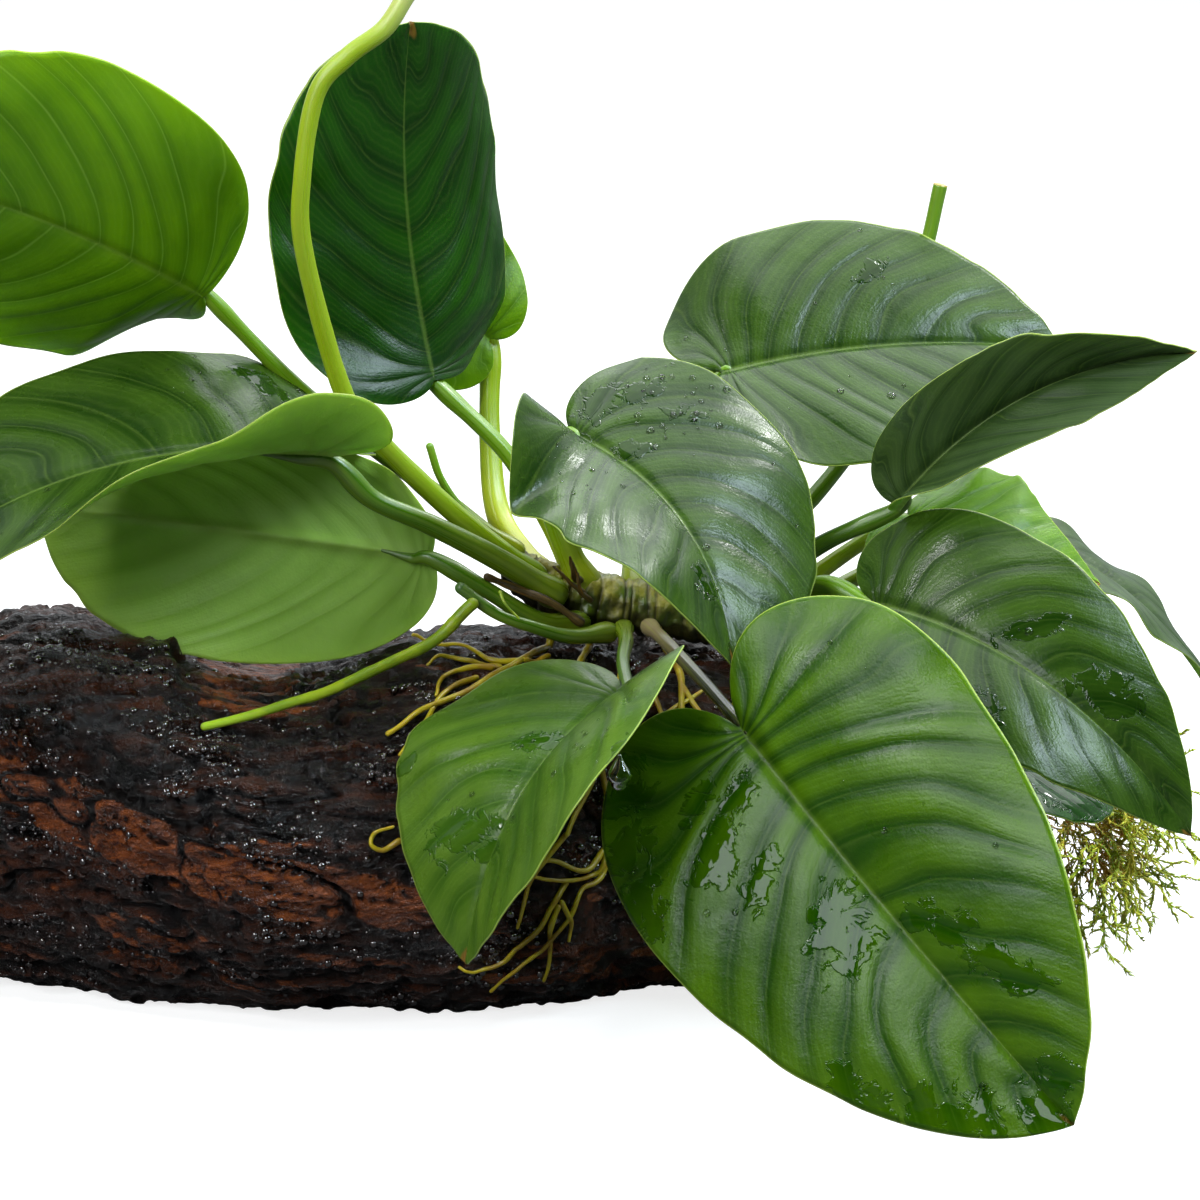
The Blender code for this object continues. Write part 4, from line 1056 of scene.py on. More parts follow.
def driftwood_log():
    """The whole log as one closed skin, finest on its front and flat underneath."""
    first, last = LOG_STATIONS[0, 0], LOG_STATIONS[-1, 0]
    x = np.linspace(first, last, LOG_ROWS)
    turns = np.linspace(-180, 180, 2000)
    weight = 0.5 + smoothstep(-60, 0, turns) * (1 - smoothstep(125, 150, turns))
    summed = np.cumsum(weight)
    turn = np.interp(np.linspace(summed[0], summed[-1], LOG_COLUMNS, endpoint=False), summed, turns)
    grid_x, grid_turn = (a.ravel() for a in np.meshgrid(x, turn, indexing="ij"))
    points, way = log_surface(grid_x, grid_turn)
    height, crack, bare = log_wear(points)
    thick = np.minimum(1, log_stations(grid_x)[3] / LOG_FULL_HEIGHT)
    points = points + way * (height * thick)[:, None]
    points[:, 2] = np.maximum(points[:, 2], 0.0)
    rings = list(points.reshape(LOG_ROWS, LOG_COLUMNS, 3))
    cracks, bares = list(crack.reshape(LOG_ROWS, -1)), list(bare.reshape(LOG_ROWS, -1))
    for end, sign in ((0, -1), (-1, 1)):
        edge, middle = rings[end], rings[end].mean(axis=0)
        for n in range(1, LOG_CAP_RINGS):
            ring = middle + (edge - middle) * (1 - n / LOG_CAP_RINGS)
            ring[:, 0] += sign * (0.5 * n + 1.5 * grain(ring / 4.0, 21) * min(1, n / 2))
            rings.insert(len(rings) if end else 0, ring)
            cracks.insert(len(cracks) if end else 0, smoothstep(0.0, 0.6, grain(ring / 3.0, 22)))
            bares.insert(len(bares) if end else 0, np.full(LOG_COLUMNS, 0.7))
    count = len(rings)
    verts = np.vstack([np.array(rings).reshape(-1, 3), rings[0].mean(axis=0), rings[-1].mean(axis=0)])
    r, c = np.meshgrid(np.arange(count - 1), np.arange(LOG_COLUMNS), indexing="ij")
    near, beside = (r * LOG_COLUMNS + c).ravel(), (r * LOG_COLUMNS + (c + 1) % LOG_COLUMNS).ravel()
    faces = np.stack([near, near + LOG_COLUMNS, beside + LOG_COLUMNS, beside], axis=-1).tolist()
    start, total = (count - 1) * LOG_COLUMNS, len(verts)
    for i in range(LOG_COLUMNS):
        j = (i + 1) % LOG_COLUMNS
        faces.append([i, j, total - 2])
        faces.append([start + j, start + i, total - 1])
    values = {"crack": np.append(np.array(cracks).ravel(), (0.5, 0.5)),
              "bare": np.append(np.array(bares).ravel(), (0.7, 0.7))}
    return new_piece("carved_driftwood_log", verts, faces, [wet_driftwood], values=values)


settle(driftwood_log(), "driftwood", "driftwood_log")

# %% [markdown]
# ## The rhizome
#
# The rhizome is the creeping stem. Each leaf that fell left a ring, so it looks like a stack of short collars,
# olive where it is alive and pale beige on the old scars. The rings are cut into the mesh by one rule,
# `ring_crease`, and the same numbers are kept on the points, so that the colour falls in the same creases.

# %% Grow the rhizome
RHIZOME_LINE = [(-27, 13, 116), (-14, 14, 107), (0, 14, 103.5), (14, 14, 101), (30, 13, 98.5), (53, 12, 97.5)]
RHIZOME_RADIUS = 7.2
RHIZOME_LENGTH = 83.0
RING_SPACING = 3.3


def ring_crease(turn_share, along):
    """How deep in a ring crease each place of the rhizome is, from 0 to 1."""
    wander = 0.9 * np.sin(2 * np.pi * turn_share + 0.7) + 0.5 * np.sin(4 * np.pi * turn_share + along * 9)
    place = (along * RHIZOME_LENGTH + wander + 1.2 * np.sin(23 * along) + 0.7 * np.sin(61 * along)) / RING_SPACING
    strength = 0.55 + 0.45 * np.sin(2.1 * np.round(place) + 2 * np.pi * turn_share)
    return strength * np.exp(-(((place - np.round(place)) / 0.16) ** 2))


def rhizome_finish():
    """Olive collars with pale scars, brown creases, and painted shade darkening the underside."""
    material, tree, shader = new_material("ringed_rhizome")
    place = put(tree, "ShaderNodeTexCoord", outlet=3)
    crease = put(tree, "ShaderNodeAttribute", outlet=2, settings={"attribute_name": "crease"})
    normal = tree.nodes.new("ShaderNodeSeparateXYZ")
    tree.links.new(put(tree, "ShaderNodeNewGeometry", outlet=1), normal.inputs[0])
    patches = speckle(tree, place, 7.0, 4.0)
    skin = blend(tree, ramp(tree, patches, 0.35, 0.62), paint(70, 88, 8), paint(124, 118, 24))
    skin = blend(tree, ramp(tree, speckle(tree, place, 4.0, 3.0), 0.62, 0.72, 0.0, 0.4), skin, paint(160, 150, 84))
    skin = blend(tree, ramp(tree, speckle(tree, place, 0.9, 3.0), 0.4, 0.8, 0.0, 0.5), skin, paint(60, 62, 14))
    creased = blend(tree, calc(tree, "MULTIPLY", crease, 0.8), skin, paint(48, 36, 12))
    # Painted shade: the rhizome darkens where its surface faces down.
    shaded = blend(tree, ramp(tree, normal.outputs["Z"], -0.4, 0.7, 0.95, 0.0), creased, paint(24, 24, 8))
    tree.links.new(shaded, shader.inputs["Base Color"])
    tree.links.new(ramp(tree, patches, 0.3, 0.7, 0.3, 0.5), shader.inputs["Roughness"])
    bumps = calc(tree, "MULTIPLY_ADD", speckle(tree, place, 1.2, 4.0), 0.8, patches)
    tree.links.new(put(tree, "ShaderNodeBump", Height=bumps, Strength=0.6, Distance=0.0006),
                   shader.inputs["Normal"])
    return material


def rhizome_piece():
    path = smooth_path(RHIZOME_LINE, 240)
    along = np.linspace(0, 1, len(path))
    blunt = 0.25 + 0.75 * np.sqrt(1 - np.abs(2 * along - 1) ** 5)
    radius = RHIZOME_RADIUS * blunt * (0.85 + 0.15 * smoothstep(0, 0.35, along))

    def collars(turn, v):
        turn_share, v = np.broadcast_arrays(turn / (2 * np.pi), v)
        around = np.stack([v * 14, 1.6 * np.cos(turn) + 0 * v, 1.6 * np.sin(turn) + 0 * v], axis=-1)
        return 0.4 - 0.9 * ring_crease(turn_share, v) + 0.9 * layered_grain(around, 3, 31)

    verts, faces, uv = tube_arrays(path, radius, 64, collars)
    return new_piece("ringed_rhizome", verts, faces, [rhizome_finish()], uv=uv,
                     values={"crease": ring_crease(uv[:, 0], uv[:, 1])})


settle(rhizome_piece(), "rhizome", "rhizome")

# %% [markdown]
# ## Roots
#
# Two kinds of root leave the rhizome. One thick green root hangs free over the log. The thin yellow ones hold
# on: they press into the bark, branch and cross each other. A holding root is named by places on the log
# (distance along it, degrees round from its top towards the front), and `on_log` lifts those places onto the
# carved surface, so each root follows the ledges without sinking into them.

# %% Root finish
def root_finish(name, young, old, tip):
    """A waxy root: young at its start, older in patches, with its own colour at the tip."""
    material, tree, shader = new_material(name)
    place = put(tree, "ShaderNodeTexCoord", outlet=3)
    growth = put(tree, "ShaderNodeUVMap", settings={"uv_map": "growth_map"})
    parts = tree.nodes.new("ShaderNodeSeparateXYZ")
    tree.links.new(growth, parts.inputs[0])
    patches = speckle(tree, place, 8.0, 4.0)
    skin = blend(tree, ramp(tree, patches, 0.38, 0.62), young, old)
    skin = blend(tree, ramp(tree, parts.outputs["Y"], 0.7, 1.0), skin, tip)
    skin = blend(tree, ramp(tree, speckle(tree, place, 1.1, 3.0), 0.6, 0.8, 0.0, 0.4), skin, paint(110, 84, 20))
    tree.links.new(skin, shader.inputs["Base Color"])
    tree.links.new(ramp(tree, patches, 0.3, 0.7, 0.28, 0.45), shader.inputs["Roughness"])
    tree.links.new(put(tree, "ShaderNodeBump", Height=speckle(tree, place, 1.4, 4.0), Strength=0.5,
                       Distance=0.0004), shader.inputs["Normal"])
    shader.inputs["Subsurface Weight"].default_value = 0.15
    shader.inputs["Subsurface Scale"].default_value = 0.001
    return material


yellow_root = root_finish("yellow_root", paint(168, 152, 24), paint(140, 112, 16), paint(190, 168, 36))
green_root = root_finish("green_root", paint(140, 160, 30), paint(112, 138, 20), paint(150, 180, 40))
print("root finishes:", yellow_root.name, green_root.name)

# %% Roots that hold the log
HOLDING_ROOTS = {
    # number: x of its foot on the rhizome, places of its trunk, places of its branches
    1: (-12, [(-14, 4), (-24, 22), (-40, 34), (-56, 42)],
        [[(-14, 13), (-21, 18), (-29, 18), (-34, 13), (-40, 8), (-45, 5), (-51, 6)],
         [(-27, 20), (-36, 18), (-42, 17), (-46, 20)],
         [(-29, 22), (-37, 22), (-42, 26), (-44, 31)],
         [(-33, 25), (-40, 30), (-44, 37), (-47, 42), (-53, 50)]]),
    2: (-3, [(-3, 8), (-8, 30), (-14, 52), (-24, 68)],
        [[(-8, 30), (-20, 40), (-30, 55), (-36, 62)], [(-52, 74), (-56, 76), (-59, 74), (-58, 71), (-53, 70)]]),
    3: (6, [(6, 8), (5, 32), (0, 56), (-9, 76)],
        [[(0, 56), (3, 76), (1, 91), (-5, 94), (-9, 102), (-15, 110), (-24, 118), (-29, 127)],
         [(2, 78), (0, 90), (-9, 90), (-18, 87)], [(1, 84), (-4, 88), (-13, 83), (-19, 84)],
         [(-9, 91), (-13, 97), (-16, 103), (-21, 109), (-26, 114), (-32, 117), (-37, 115)],
         [(-11, 97), (-13, 103), (-13, 110), (-15, 122)], [(-10, 96), (-8, 102), (-9, 108)],
         [(-9, 76), (-17, 86), (-20, 94), (-22, 103)]]),
    4: (18, [(18, 6), (22, 30), (20, 56), (14, 80)],
        [[(13, 32), (17, 43), (20, 53)], [(22, 30), (27, 43), (31, 46)], [(12, 48), (21, 39), (30, 31)]]),
    5: (32, [(34, 4), (42, 26), (50, 50), (52, 74)], [[(40, 22), (36, 42), (38, 60)]]),
    6: (10, [(12, -10), (18, -34), (30, -58), (34, -80)], [[(16, -30), (8, -48), (4, -66)]]),
}
ROOT_RADIUS = 0.95


def on_log(places, lift=0.7):
    """A smooth line through places on the log, resting on its carved surface."""
    x, turn, _ = smooth_path([(*place, 0.0) for place in places], 24 * (len(places) - 1)).T
    points, way = log_surface(x, turn)
    height = log_wear(points)[0] * np.minimum(1, log_stations(x)[3] / LOG_FULL_HEIGHT)
    highest = np.lib.stride_tricks.sliding_window_view(np.pad(height, 5, mode="edge"), 11).max(axis=1)
    eased = np.convolve(np.pad(highest, 5, mode="edge"), np.ones(11) / 11, mode="valid")
    return points + way * (eased + lift)[:, None]


def root_strand(path, foot, tip, seed):
    """A thin root: a tube that wanders a little and thickens here and there."""
    along = np.linspace(0, 1, len(path))
    wander = np.stack([grain(path / 9.0, seed + n) for n in range(3)], axis=-1) * (0.9 * along[:, None])
    radius = (foot + (tip - foot) * along) * (1 + 0.16 * grain(path / 3.5, seed + 5))
    return tube_arrays(path + wander, radius, 12)


for number, (foot_x, trunk, branches) in HOLDING_ROOTS.items():
    towards_front = math.copysign(3, trunk[1][1])
    start = np.array([(foot_x, 14 - towards_front, 99.0)])
    trunk_path = np.vstack([smooth_path(np.vstack([start, on_log(trunk)[:1]]), 8)[:-1], on_log(trunk)])
    strands = [root_strand(trunk_path, ROOT_RADIUS * 1.15, ROOT_RADIUS * 0.7, number)]
    strands += [root_strand(on_log(places), ROOT_RADIUS * 0.9, ROOT_RADIUS * 0.45, 40 + 9 * number + i)
                for i, places in enumerate(branches)]
    verts, faces, uv = joined(strands)
    settle(new_piece(f"branched_holding_root_{number}", verts, faces, [yellow_root], uv=uv), "root",
           f"holding_root_{number}")

# %% The root that hangs free
AERIAL_ROOT = [(-34, -17, 110), (-45, -22, 101), (-66, -31, 92.5), (-86, -38, 87), (-103, -42, 83.5)]
HANGING_ROOT = [(-26.6, -13, 112.4), (-25.3, -15, 109.4), (-21.8, -16, 105.5)]


def aerial_root():
    """The thick green root, with the faint joints where it slowed and grew on, and a thin one beside it."""
    path = smooth_path(AERIAL_ROOT, 130)
    along = np.linspace(0, 1, len(path))
    joints = sum(np.exp(-(((along - at) / 0.018) ** 2)) for at in (0.13, 0.3, 0.44, 0.62, 0.8))
    radius = (1.7 - 0.6 * along) * (1 + 0.09 * joints + 0.05 * grain(path / 4.0, 51))
    path = path + 0.5 * np.stack([grain(path / 14.0, 52 + n) for n in range(3)], axis=-1)
    thin = root_strand(smooth_path(HANGING_ROOT, 30), 0.5, 0.3, 58)
    return new_piece("free_hanging_root", *joined([tube_arrays(path, radius, 22), thin])[:2], [green_root],
                     uv=joined([tube_arrays(path, radius, 22), thin])[2])


settle(aerial_root(), "root", "aerial_root")

# %% [markdown]
# ## Withered parts
#
# Where a leaf died, its papery sheath stays on the rhizome, dark brown with a bright orange edge where light
# shines through, and an old stalk lies across it, dried to a thin brown stick. The sheath is a tube squeezed
# flat, split into points at its top.

# %% Torn sheath
def withered_finish():
    """Dry brown husk with orange streaks along its length, painted light where light shines through."""
    material, tree, shader = new_material("withered_husk")
    growth = put(tree, "ShaderNodeUVMap", settings={"uv_map": "growth_map"})
    place = put(tree, "ShaderNodeTexCoord", outlet=3)
    streaks = put(tree, "ShaderNodeMapping", Vector=growth, Scale=(9.0, 1.2, 1.0))
    streak = put(tree, "ShaderNodeTexNoise", Vector=streaks, Scale=1.0, Detail=4.0)
    husk = blend(tree, ramp(tree, streak, 0.35, 0.6), paint(36, 22, 8), paint(86, 66, 20))
    # Painted light: the orange streaks stand for light shining through the thin husk.
    husk = blend(tree, ramp(tree, streak, 0.62, 0.68, 0.0, 0.7), husk, paint(200, 104, 28))
    tree.links.new(husk, shader.inputs["Base Color"])
    tree.links.new(ramp(tree, streak, 0.3, 0.7, 0.45, 0.7), shader.inputs["Roughness"])
    bumps = calc(tree, "MULTIPLY_ADD", speckle(tree, place, 1.0, 3.0), 0.6, streak)
    tree.links.new(put(tree, "ShaderNodeBump", Height=bumps, Strength=0.7, Distance=0.0005),
                   shader.inputs["Normal"])
    return material


OLD_STICK = [(-30.3, -4, 114.4), (-21.5, -3, 110.5), (-13.5, -2, 106.9), (-5.4, 0, 100.9)]
SHEATH_LINES = [  # each point of the sheath: its line, and its radius at the foot
    ([(-6, 6, 111), (-7, 2, 114), (-8, -2, 119.5)], 1.7),
    ([(-5, 5, 108), (-8.5, 1.5, 112), (-12.5, -1, 116.5)], 1.3),
    ([(-3, 4, 106), (-5.5, 0, 110), (-5.8, -2.5, 115)], 1.2),
]


def withered_parts():
    pieces = []
    for n, (line, foot) in enumerate(SHEATH_LINES):
        path = smooth_path(line, 26)
        along = np.linspace(0, 1, len(path))

        def squeezed(turn, v, foot=foot):
            return -0.55 * foot * (1 - 0.8 * v) * np.sin(turn) ** 2 + 0.18 * np.sin(3 * turn + 9 * v)

        pieces.append(tube_arrays(path, foot * (1 - 0.82 * along) + 0.1 * grain(path / 1.5, 61 + n), 16, squeezed))
    stick = smooth_path(OLD_STICK, 60)
    bulges = 1.15 * (1 + 0.28 * grain(stick / 3.0, 65)) * (1 - 0.25 * np.linspace(1, 0, 60))
    pieces.append(tube_arrays(stick, bulges, 14))
    verts, faces, uv = joined(pieces)
    return new_piece("torn_sheath", verts, faces, [withered_finish()], uv=uv)


settle(withered_parts(), "withered", "old_sheath")

# %% [markdown]
# ## The flower bud
#
# An anubias flower is a spike wrapped in one leaf, the spathe. In bud the spathe is rolled up into a point.
# That is a sheet wound a little more than once round the stalk's line: its radius grows slowly with the turn,
# so the outer edge lies proud of the rest and shows as a line that climbs the bud.

# %% Rolled spathe
SPATHE_LENGTH = 34.0
SPATHE_RADIUS = 3.4
SPATHE_LEAN = 5.0
SPATHE_TURNS = 1.3
SPATHE_WALL = 0.45


def spathe_finish():
    """Pale cream, greener at the foot and at the point, with fine lengthwise nerves."""
    material, tree, shader = new_material("spathe_cream")
    growth = put(tree, "ShaderNodeUVMap", settings={"uv_map": "growth_map"})
    parts = tree.nodes.new("ShaderNodeSeparateXYZ")
    tree.links.new(growth, parts.inputs[0])
    nerve_count = calc(tree, "MULTIPLY", parts.outputs["X"], 26.0)
    nerve = ramp(tree, calc(tree, "PINGPONG", nerve_count, 0.5), 0.0, 0.25, 1.0, 0.0)
    ends = blend(tree, ramp(tree, parts.outputs["Y"], 0.0, 0.4), paint(150, 172, 60), paint(214, 216, 160))
    ends = blend(tree, ramp(tree, parts.outputs["Y"], 0.75, 1.0), ends, paint(168, 186, 84))
    tree.links.new(blend(tree, calc(tree, "MULTIPLY", nerve, 0.25), ends, paint(140, 164, 66)),
                   shader.inputs["Base Color"])
    tree.links.new(ramp(tree, nerve, 0.0, 1.0, 0.34, 0.46), shader.inputs["Roughness"])
    tree.links.new(put(tree, "ShaderNodeBump", Height=nerve, Strength=0.4, Distance=0.0003),
                   shader.inputs["Normal"])
    shader.inputs["Subsurface Weight"].default_value = 0.25
    shader.inputs["Subsurface Scale"].default_value = 0.002
    return material


def rolled_spathe():
    route = [np.array(p, float) for p in SHOOTS["flower_stalk"][0]]
    ahead = unit(route[-1] - route[-2])
    side = unit(np.cross(ahead, (0.0, 1.0, 0.0)))
    other = np.cross(side, ahead)
    v = np.linspace(0, 1, 60)[:, None]
    u = np.linspace(0, 1, 91)[None, :]
    belly = 0.55 + 0.45 * np.sin(np.pi * np.minimum(1.0, v * 1.5 + 0.1))
    radius = (SPATHE_RADIUS * belly * (1 - 0.85 * v**2.5)) * (0.8 + 0.2 * u)
    radius = radius + 0.25 * np.maximum(0, u - 0.9) * 10 * (1 - v)
    turn = 2 * np.pi * SPATHE_TURNS * u + 0.9 * v
    middle = route[-1] + ahead * (SPATHE_LENGTH * v[..., None]) + side * (SPATHE_LEAN * v[..., None] ** 2)
    way = side * np.cos(turn)[..., None] + other * np.sin(turn)[..., None]
    outer = middle + way * radius[..., None]
    inner = middle + way * np.maximum(0.05, radius - SPATHE_WALL)[..., None]
    rows, columns = radius.shape
    grid = np.arange(rows * columns).reshape(rows, columns)
    near, beside = grid[:-1, :-1].ravel(), grid[:-1, 1:].ravel()
    above, across = grid[1:, :-1].ravel(), grid[1:, 1:].ravel()
    quads = np.stack([near, above, across, beside], axis=-1)
    edge = np.concatenate([grid[0, :-1], grid[:-1, -1], grid[-1, :0:-1], grid[:0:-1, 0]])
    after = np.roll(edge, -1)
    sheet = rows * columns
    rim = np.stack([edge, after, after + sheet, edge + sheet], axis=-1)
    faces = quads.tolist() + (quads[:, ::-1] + sheet).tolist() + rim[:, ::-1].tolist()
    uv = np.stack(np.broadcast_arrays(u, v), axis=-1).reshape(-1, 2)
    piece = new_piece("rolled_spathe", np.vstack([outer.reshape(-1, 3), inner.reshape(-1, 3)]), faces,
                      [spathe_finish()], uv=np.vstack([uv, uv]))
    turned = bmesh.new()
    turned.from_mesh(piece.data)
    bmesh.ops.recalc_face_normals(turned, faces=turned.faces)
    turned.to_mesh(piece.data)
    turned.free()
    return piece


settle(rolled_spathe(), "flower", "flower_spathe")

# %% [markdown]
# ## The moss
#
# The tuft at the end of the log is aquarium moss: hundreds of thin branching stems set with tiny pointed
# leaves, olive and orange inside and yellow-green at the hanging tips. Every stem is the same kind of thing,
# so this is a job for Geometry Nodes. The script only draws the stems' lines. The nodes turn the lines into
# thin tubes and set small leaves along them, then everything is made one plain mesh.

# %% Lines of the moss stems
MOSS_MIDDLE = np.array((132.0, 18.0, 36.0))
MOSS_REACH = np.array((19.0, 17.0, 31.0))
MOSS_STEMS = 84
MOSS_STEP = 1.5


def moss_stem(rng, start, heading, steps, sag):
    """A wandering line that sags under its own weight."""
    points, heading = [start], unit(heading)
    for n in range(steps):
        heading = unit(heading + rng.normal(0, 0.17, 3) + np.array((0.0, 0.0, -sag)))
        point = points[-1] + heading * MOSS_STEP
        if point[2] < 2.5:
            break
        points.append(point)
    return np.array(points)


def moss_lines():
    """All stems and their side stems as lists of points."""
    rng = np.random.default_rng(11)
    stems = []
    for n in range(MOSS_STEMS):
        way = unit(rng.normal(0, 1, 3) + np.array((0.45, -0.25, 0.1)))
        start = MOSS_MIDDLE + MOSS_REACH * way * 0.35
        main = moss_stem(rng, start, way * (1, 1, 0.75), int(rng.uniform(12, 25)), rng.uniform(0.02, 0.10))
        stems.append(main)
        for at in range(3, len(main) - 2, 3):
            turned = unit(main[at + 1] - main[at] + rng.normal(0, 0.75, 3))
            stems.append(moss_stem(rng, main[at], turned, int(rng.uniform(3, 9)), 0.05))
    return [stem for stem in stems if len(stem) > 2]


def line_object(name, lines):
    """The lines as a mesh of edges only."""
    edges, start = [], 0
    for line in lines:
        edges += [(start + i, start + i + 1) for i in range(len(line) - 1)]
        start += len(line)
    mesh = bpy.data.meshes.new(name)
    mesh.from_pydata((np.vstack(lines) * MM).tolist(), edges, [])
    made = bpy.data.objects.new(name, mesh)
    bpy.context.scene.collection.objects.link(made)
    return made


moss_paths = moss_lines()
print(len(moss_paths), "moss stems,", round(sum(len(path) for path in moss_paths) * MOSS_STEP), "mm in all")

# %% Moss finish
def moss_finish():
    """Olive and orange in the middle of the tuft, yellow-green outside."""
    material, tree, shader = new_material("moss_strands")
    place = put(tree, "ShaderNodeTexCoord", outlet=3)
    gap = put(tree, "ShaderNodeVectorMath", outlet=1, settings={"operation": "DISTANCE"}, _0=place,
              _1=tuple(MOSS_MIDDLE * MM))
    outside = ramp(tree, gap, 0.010, 0.034)
    patches = speckle(tree, place, 9.0, 3.0)
    inner = blend(tree, ramp(tree, patches, 0.4, 0.6), paint(120, 122, 20), paint(170, 126, 30))
    outer = blend(tree, ramp(tree, patches, 0.35, 0.65), paint(146, 168, 24), paint(204, 210, 64))
    tree.links.new(blend(tree, outside, inner, outer), shader.inputs["Base Color"])
    tree.links.new(ramp(tree, patches, 0.3, 0.7, 0.35, 0.6), shader.inputs["Roughness"])
    shader.inputs["Subsurface Weight"].default_value = 0.2
    shader.inputs["Subsurface Scale"].default_value = 0.001
    return material


moss_green = moss_finish()
print("moss finish ready")

# %% Moss nodes
def node_tree(name, sockets):
    """An empty Geometry Nodes tree with these named inputs besides its geometry."""
    tree = bpy.data.node_groups.new(name, "GeometryNodeTree")
    tree.interface.new_socket("Geometry", in_out="INPUT", socket_type="NodeSocketGeometry")
    tree.interface.new_socket("Geometry", in_out="OUTPUT", socket_type="NodeSocketGeometry")
    for label, kind in sockets:
        tree.interface.new_socket(label, in_out="INPUT", socket_type="NodeSocket" + kind)
    return tree, tree.nodes.new("NodeGroupInput").outputs, tree.nodes.new("NodeGroupOutput").inputs


def made_by_nodes(source, tree, name, **values):
    """The result of a tree on an object, as a plain mesh object of its own. The source is removed."""
    modifier = source.modifiers.new(tree.name, "NODES")
    modifier.node_group = tree
    for item in tree.interface.items_tree:
        key = item.name.replace(" ", "_")
        if item.in_out == "INPUT" and key in values:
            modifier[item.identifier] = values[key]
    graph = bpy.context.evaluated_depsgraph_get()
    mesh = bpy.data.meshes.new_from_object(source.evaluated_get(graph))
    mesh.name = name
    piece = bpy.data.objects.new(name, mesh)
    bpy.context.scene.collection.objects.link(piece)
    bpy.data.objects.remove(source)
    return piece


moss_tree, given, moss_out = node_tree("moss_tuft_nodes", [
    ("Stem Radius", "Float"), ("Leaf Spacing", "Float"), ("Leaf Length", "Float"), ("Leaf Width", "Float"),
    ("Seed", "Int"), ("Material", "Material")])
stem_curves = put(moss_tree, "GeometryNodeMeshToCurve", Mesh=given["Geometry"])
profile = put(moss_tree, "GeometryNodeCurvePrimitiveCircle", Resolution=4, Radius=given["Stem Radius"])
stem_tubes = put(moss_tree, "GeometryNodeCurveToMesh", Curve=stem_curves, _1=profile, Fill_Caps=True)
leaf_places = moss_tree.nodes.new("GeometryNodeCurveToPoints")
leaf_places.mode = "LENGTH"
moss_tree.links.new(stem_curves, leaf_places.inputs["Curve"])
moss_tree.links.new(given["Leaf Spacing"], leaf_places.inputs["Length"])
cone = put(moss_tree, "GeometryNodeMeshCone", settings={"fill_type": "NGON"}, Vertices=4, Side_Segments=1,
           Fill_Segments=1, Radius_Top=0.0, Radius_Bottom=given["Leaf Width"], Depth=given["Leaf Length"])
spread = put(moss_tree, "FunctionNodeRandomValue", settings={"data_type": "FLOAT_VECTOR"}, outlet=0,
             _0=(-0.9, -0.9, -3.14), _1=(0.9, 0.9, 3.14), Seed=given["Seed"])
splayed = put(moss_tree, "FunctionNodeRotateRotation", settings={"rotation_space": "LOCAL"},
              Rotation=leaf_places.outputs["Rotation"],
              Rotate_By=put(moss_tree, "FunctionNodeEulerToRotation", Euler=spread))
size = put(moss_tree, "FunctionNodeRandomValue", settings={"data_type": "FLOAT"}, outlet=1,
           _2=0.6, _3=1.25, Seed=given["Seed"])
leaves = put(moss_tree, "GeometryNodeInstanceOnPoints", Points=leaf_places.outputs["Points"], Instance=cone,
             Rotation=splayed, Scale=size)
whole = moss_tree.nodes.new("GeometryNodeJoinGeometry")
moss_tree.links.new(stem_tubes, whole.inputs[0])
moss_tree.links.new(leaves, whole.inputs[0])
real = put(moss_tree, "GeometryNodeRealizeInstances", Geometry=whole.outputs[0])
moss_tree.links.new(put(moss_tree, "GeometryNodeSetMaterial", Geometry=real, Material=given["Material"]), moss_out[0])

moss = made_by_nodes(line_object("moss_lines", moss_paths), moss_tree, "moss_strands", Stem_Radius=0.00022,
                     Leaf_Spacing=0.0010, Leaf_Length=0.0021, Leaf_Width=0.00042, Seed=3, Material=moss_green)
settle(moss, "moss", "moss_tuft")

# %% [markdown]
# ## Drops
#
# The plant has just come out of the water, and on the waxy leaves the water breaks into beads. Each bead is a
# flat dome of clear water. Geometry Nodes scatter them: a thin copy of the leaves' upper sides tells where
# they may lie and how many, and every bead is turned to stand square to the leaf under it.

# %% Water finish
def clear_water():
    material, _, shader = new_material("clear_water")
    shader.inputs["Base Color"].default_value = (1.0, 1.0, 1.0, 1.0)
    shader.inputs["Roughness"].default_value = 0.0
    shader.inputs["IOR"].default_value = 1.33
    shader.inputs["Transmission Weight"].default_value = 1.0
    return material


water = clear_water()
print("water ready")

# %% Where drops lie
DROP_BASE = 0.02
DROP_SPOTS = {
    # leaf: side, share, t, reach in millimetres and how crowded
    "centre": [(0, 0.30, 0.45, 20, 1.0), (0, 0.46, 0.2, 14, 0.7), (1, 0.4, 0.3, 16, 0.5), (1, 0.8, 0.3, 14, 0.6)],
    "front_large": [(1, 0.30, 0.8, 15, 0.6), (1, 0.42, 0.5, 14, 0.5), (1, 0.60, 0.3, 12, 0.3), (0, 0.6, 0.5, 20, 0.1)],
    "front_small": [(1, 0.55, 0.2, 10, 0.6), (1, 0.7, 0.4, 12, 0.4), (0, 0.5, 0.5, 14, 0.3)],
    "lower_right": [(0, 0.6, 0.4, 12, 0.4), (0, 0.75, 0.4, 12, 0.3)],
    "upper_right": [(0, 0.6, 0.6, 8, 0.3)],
    "left": [(1, 0.4, 0.7, 14, 0.3), (0, 0.5, 0.5, 20, 0.2)],
}


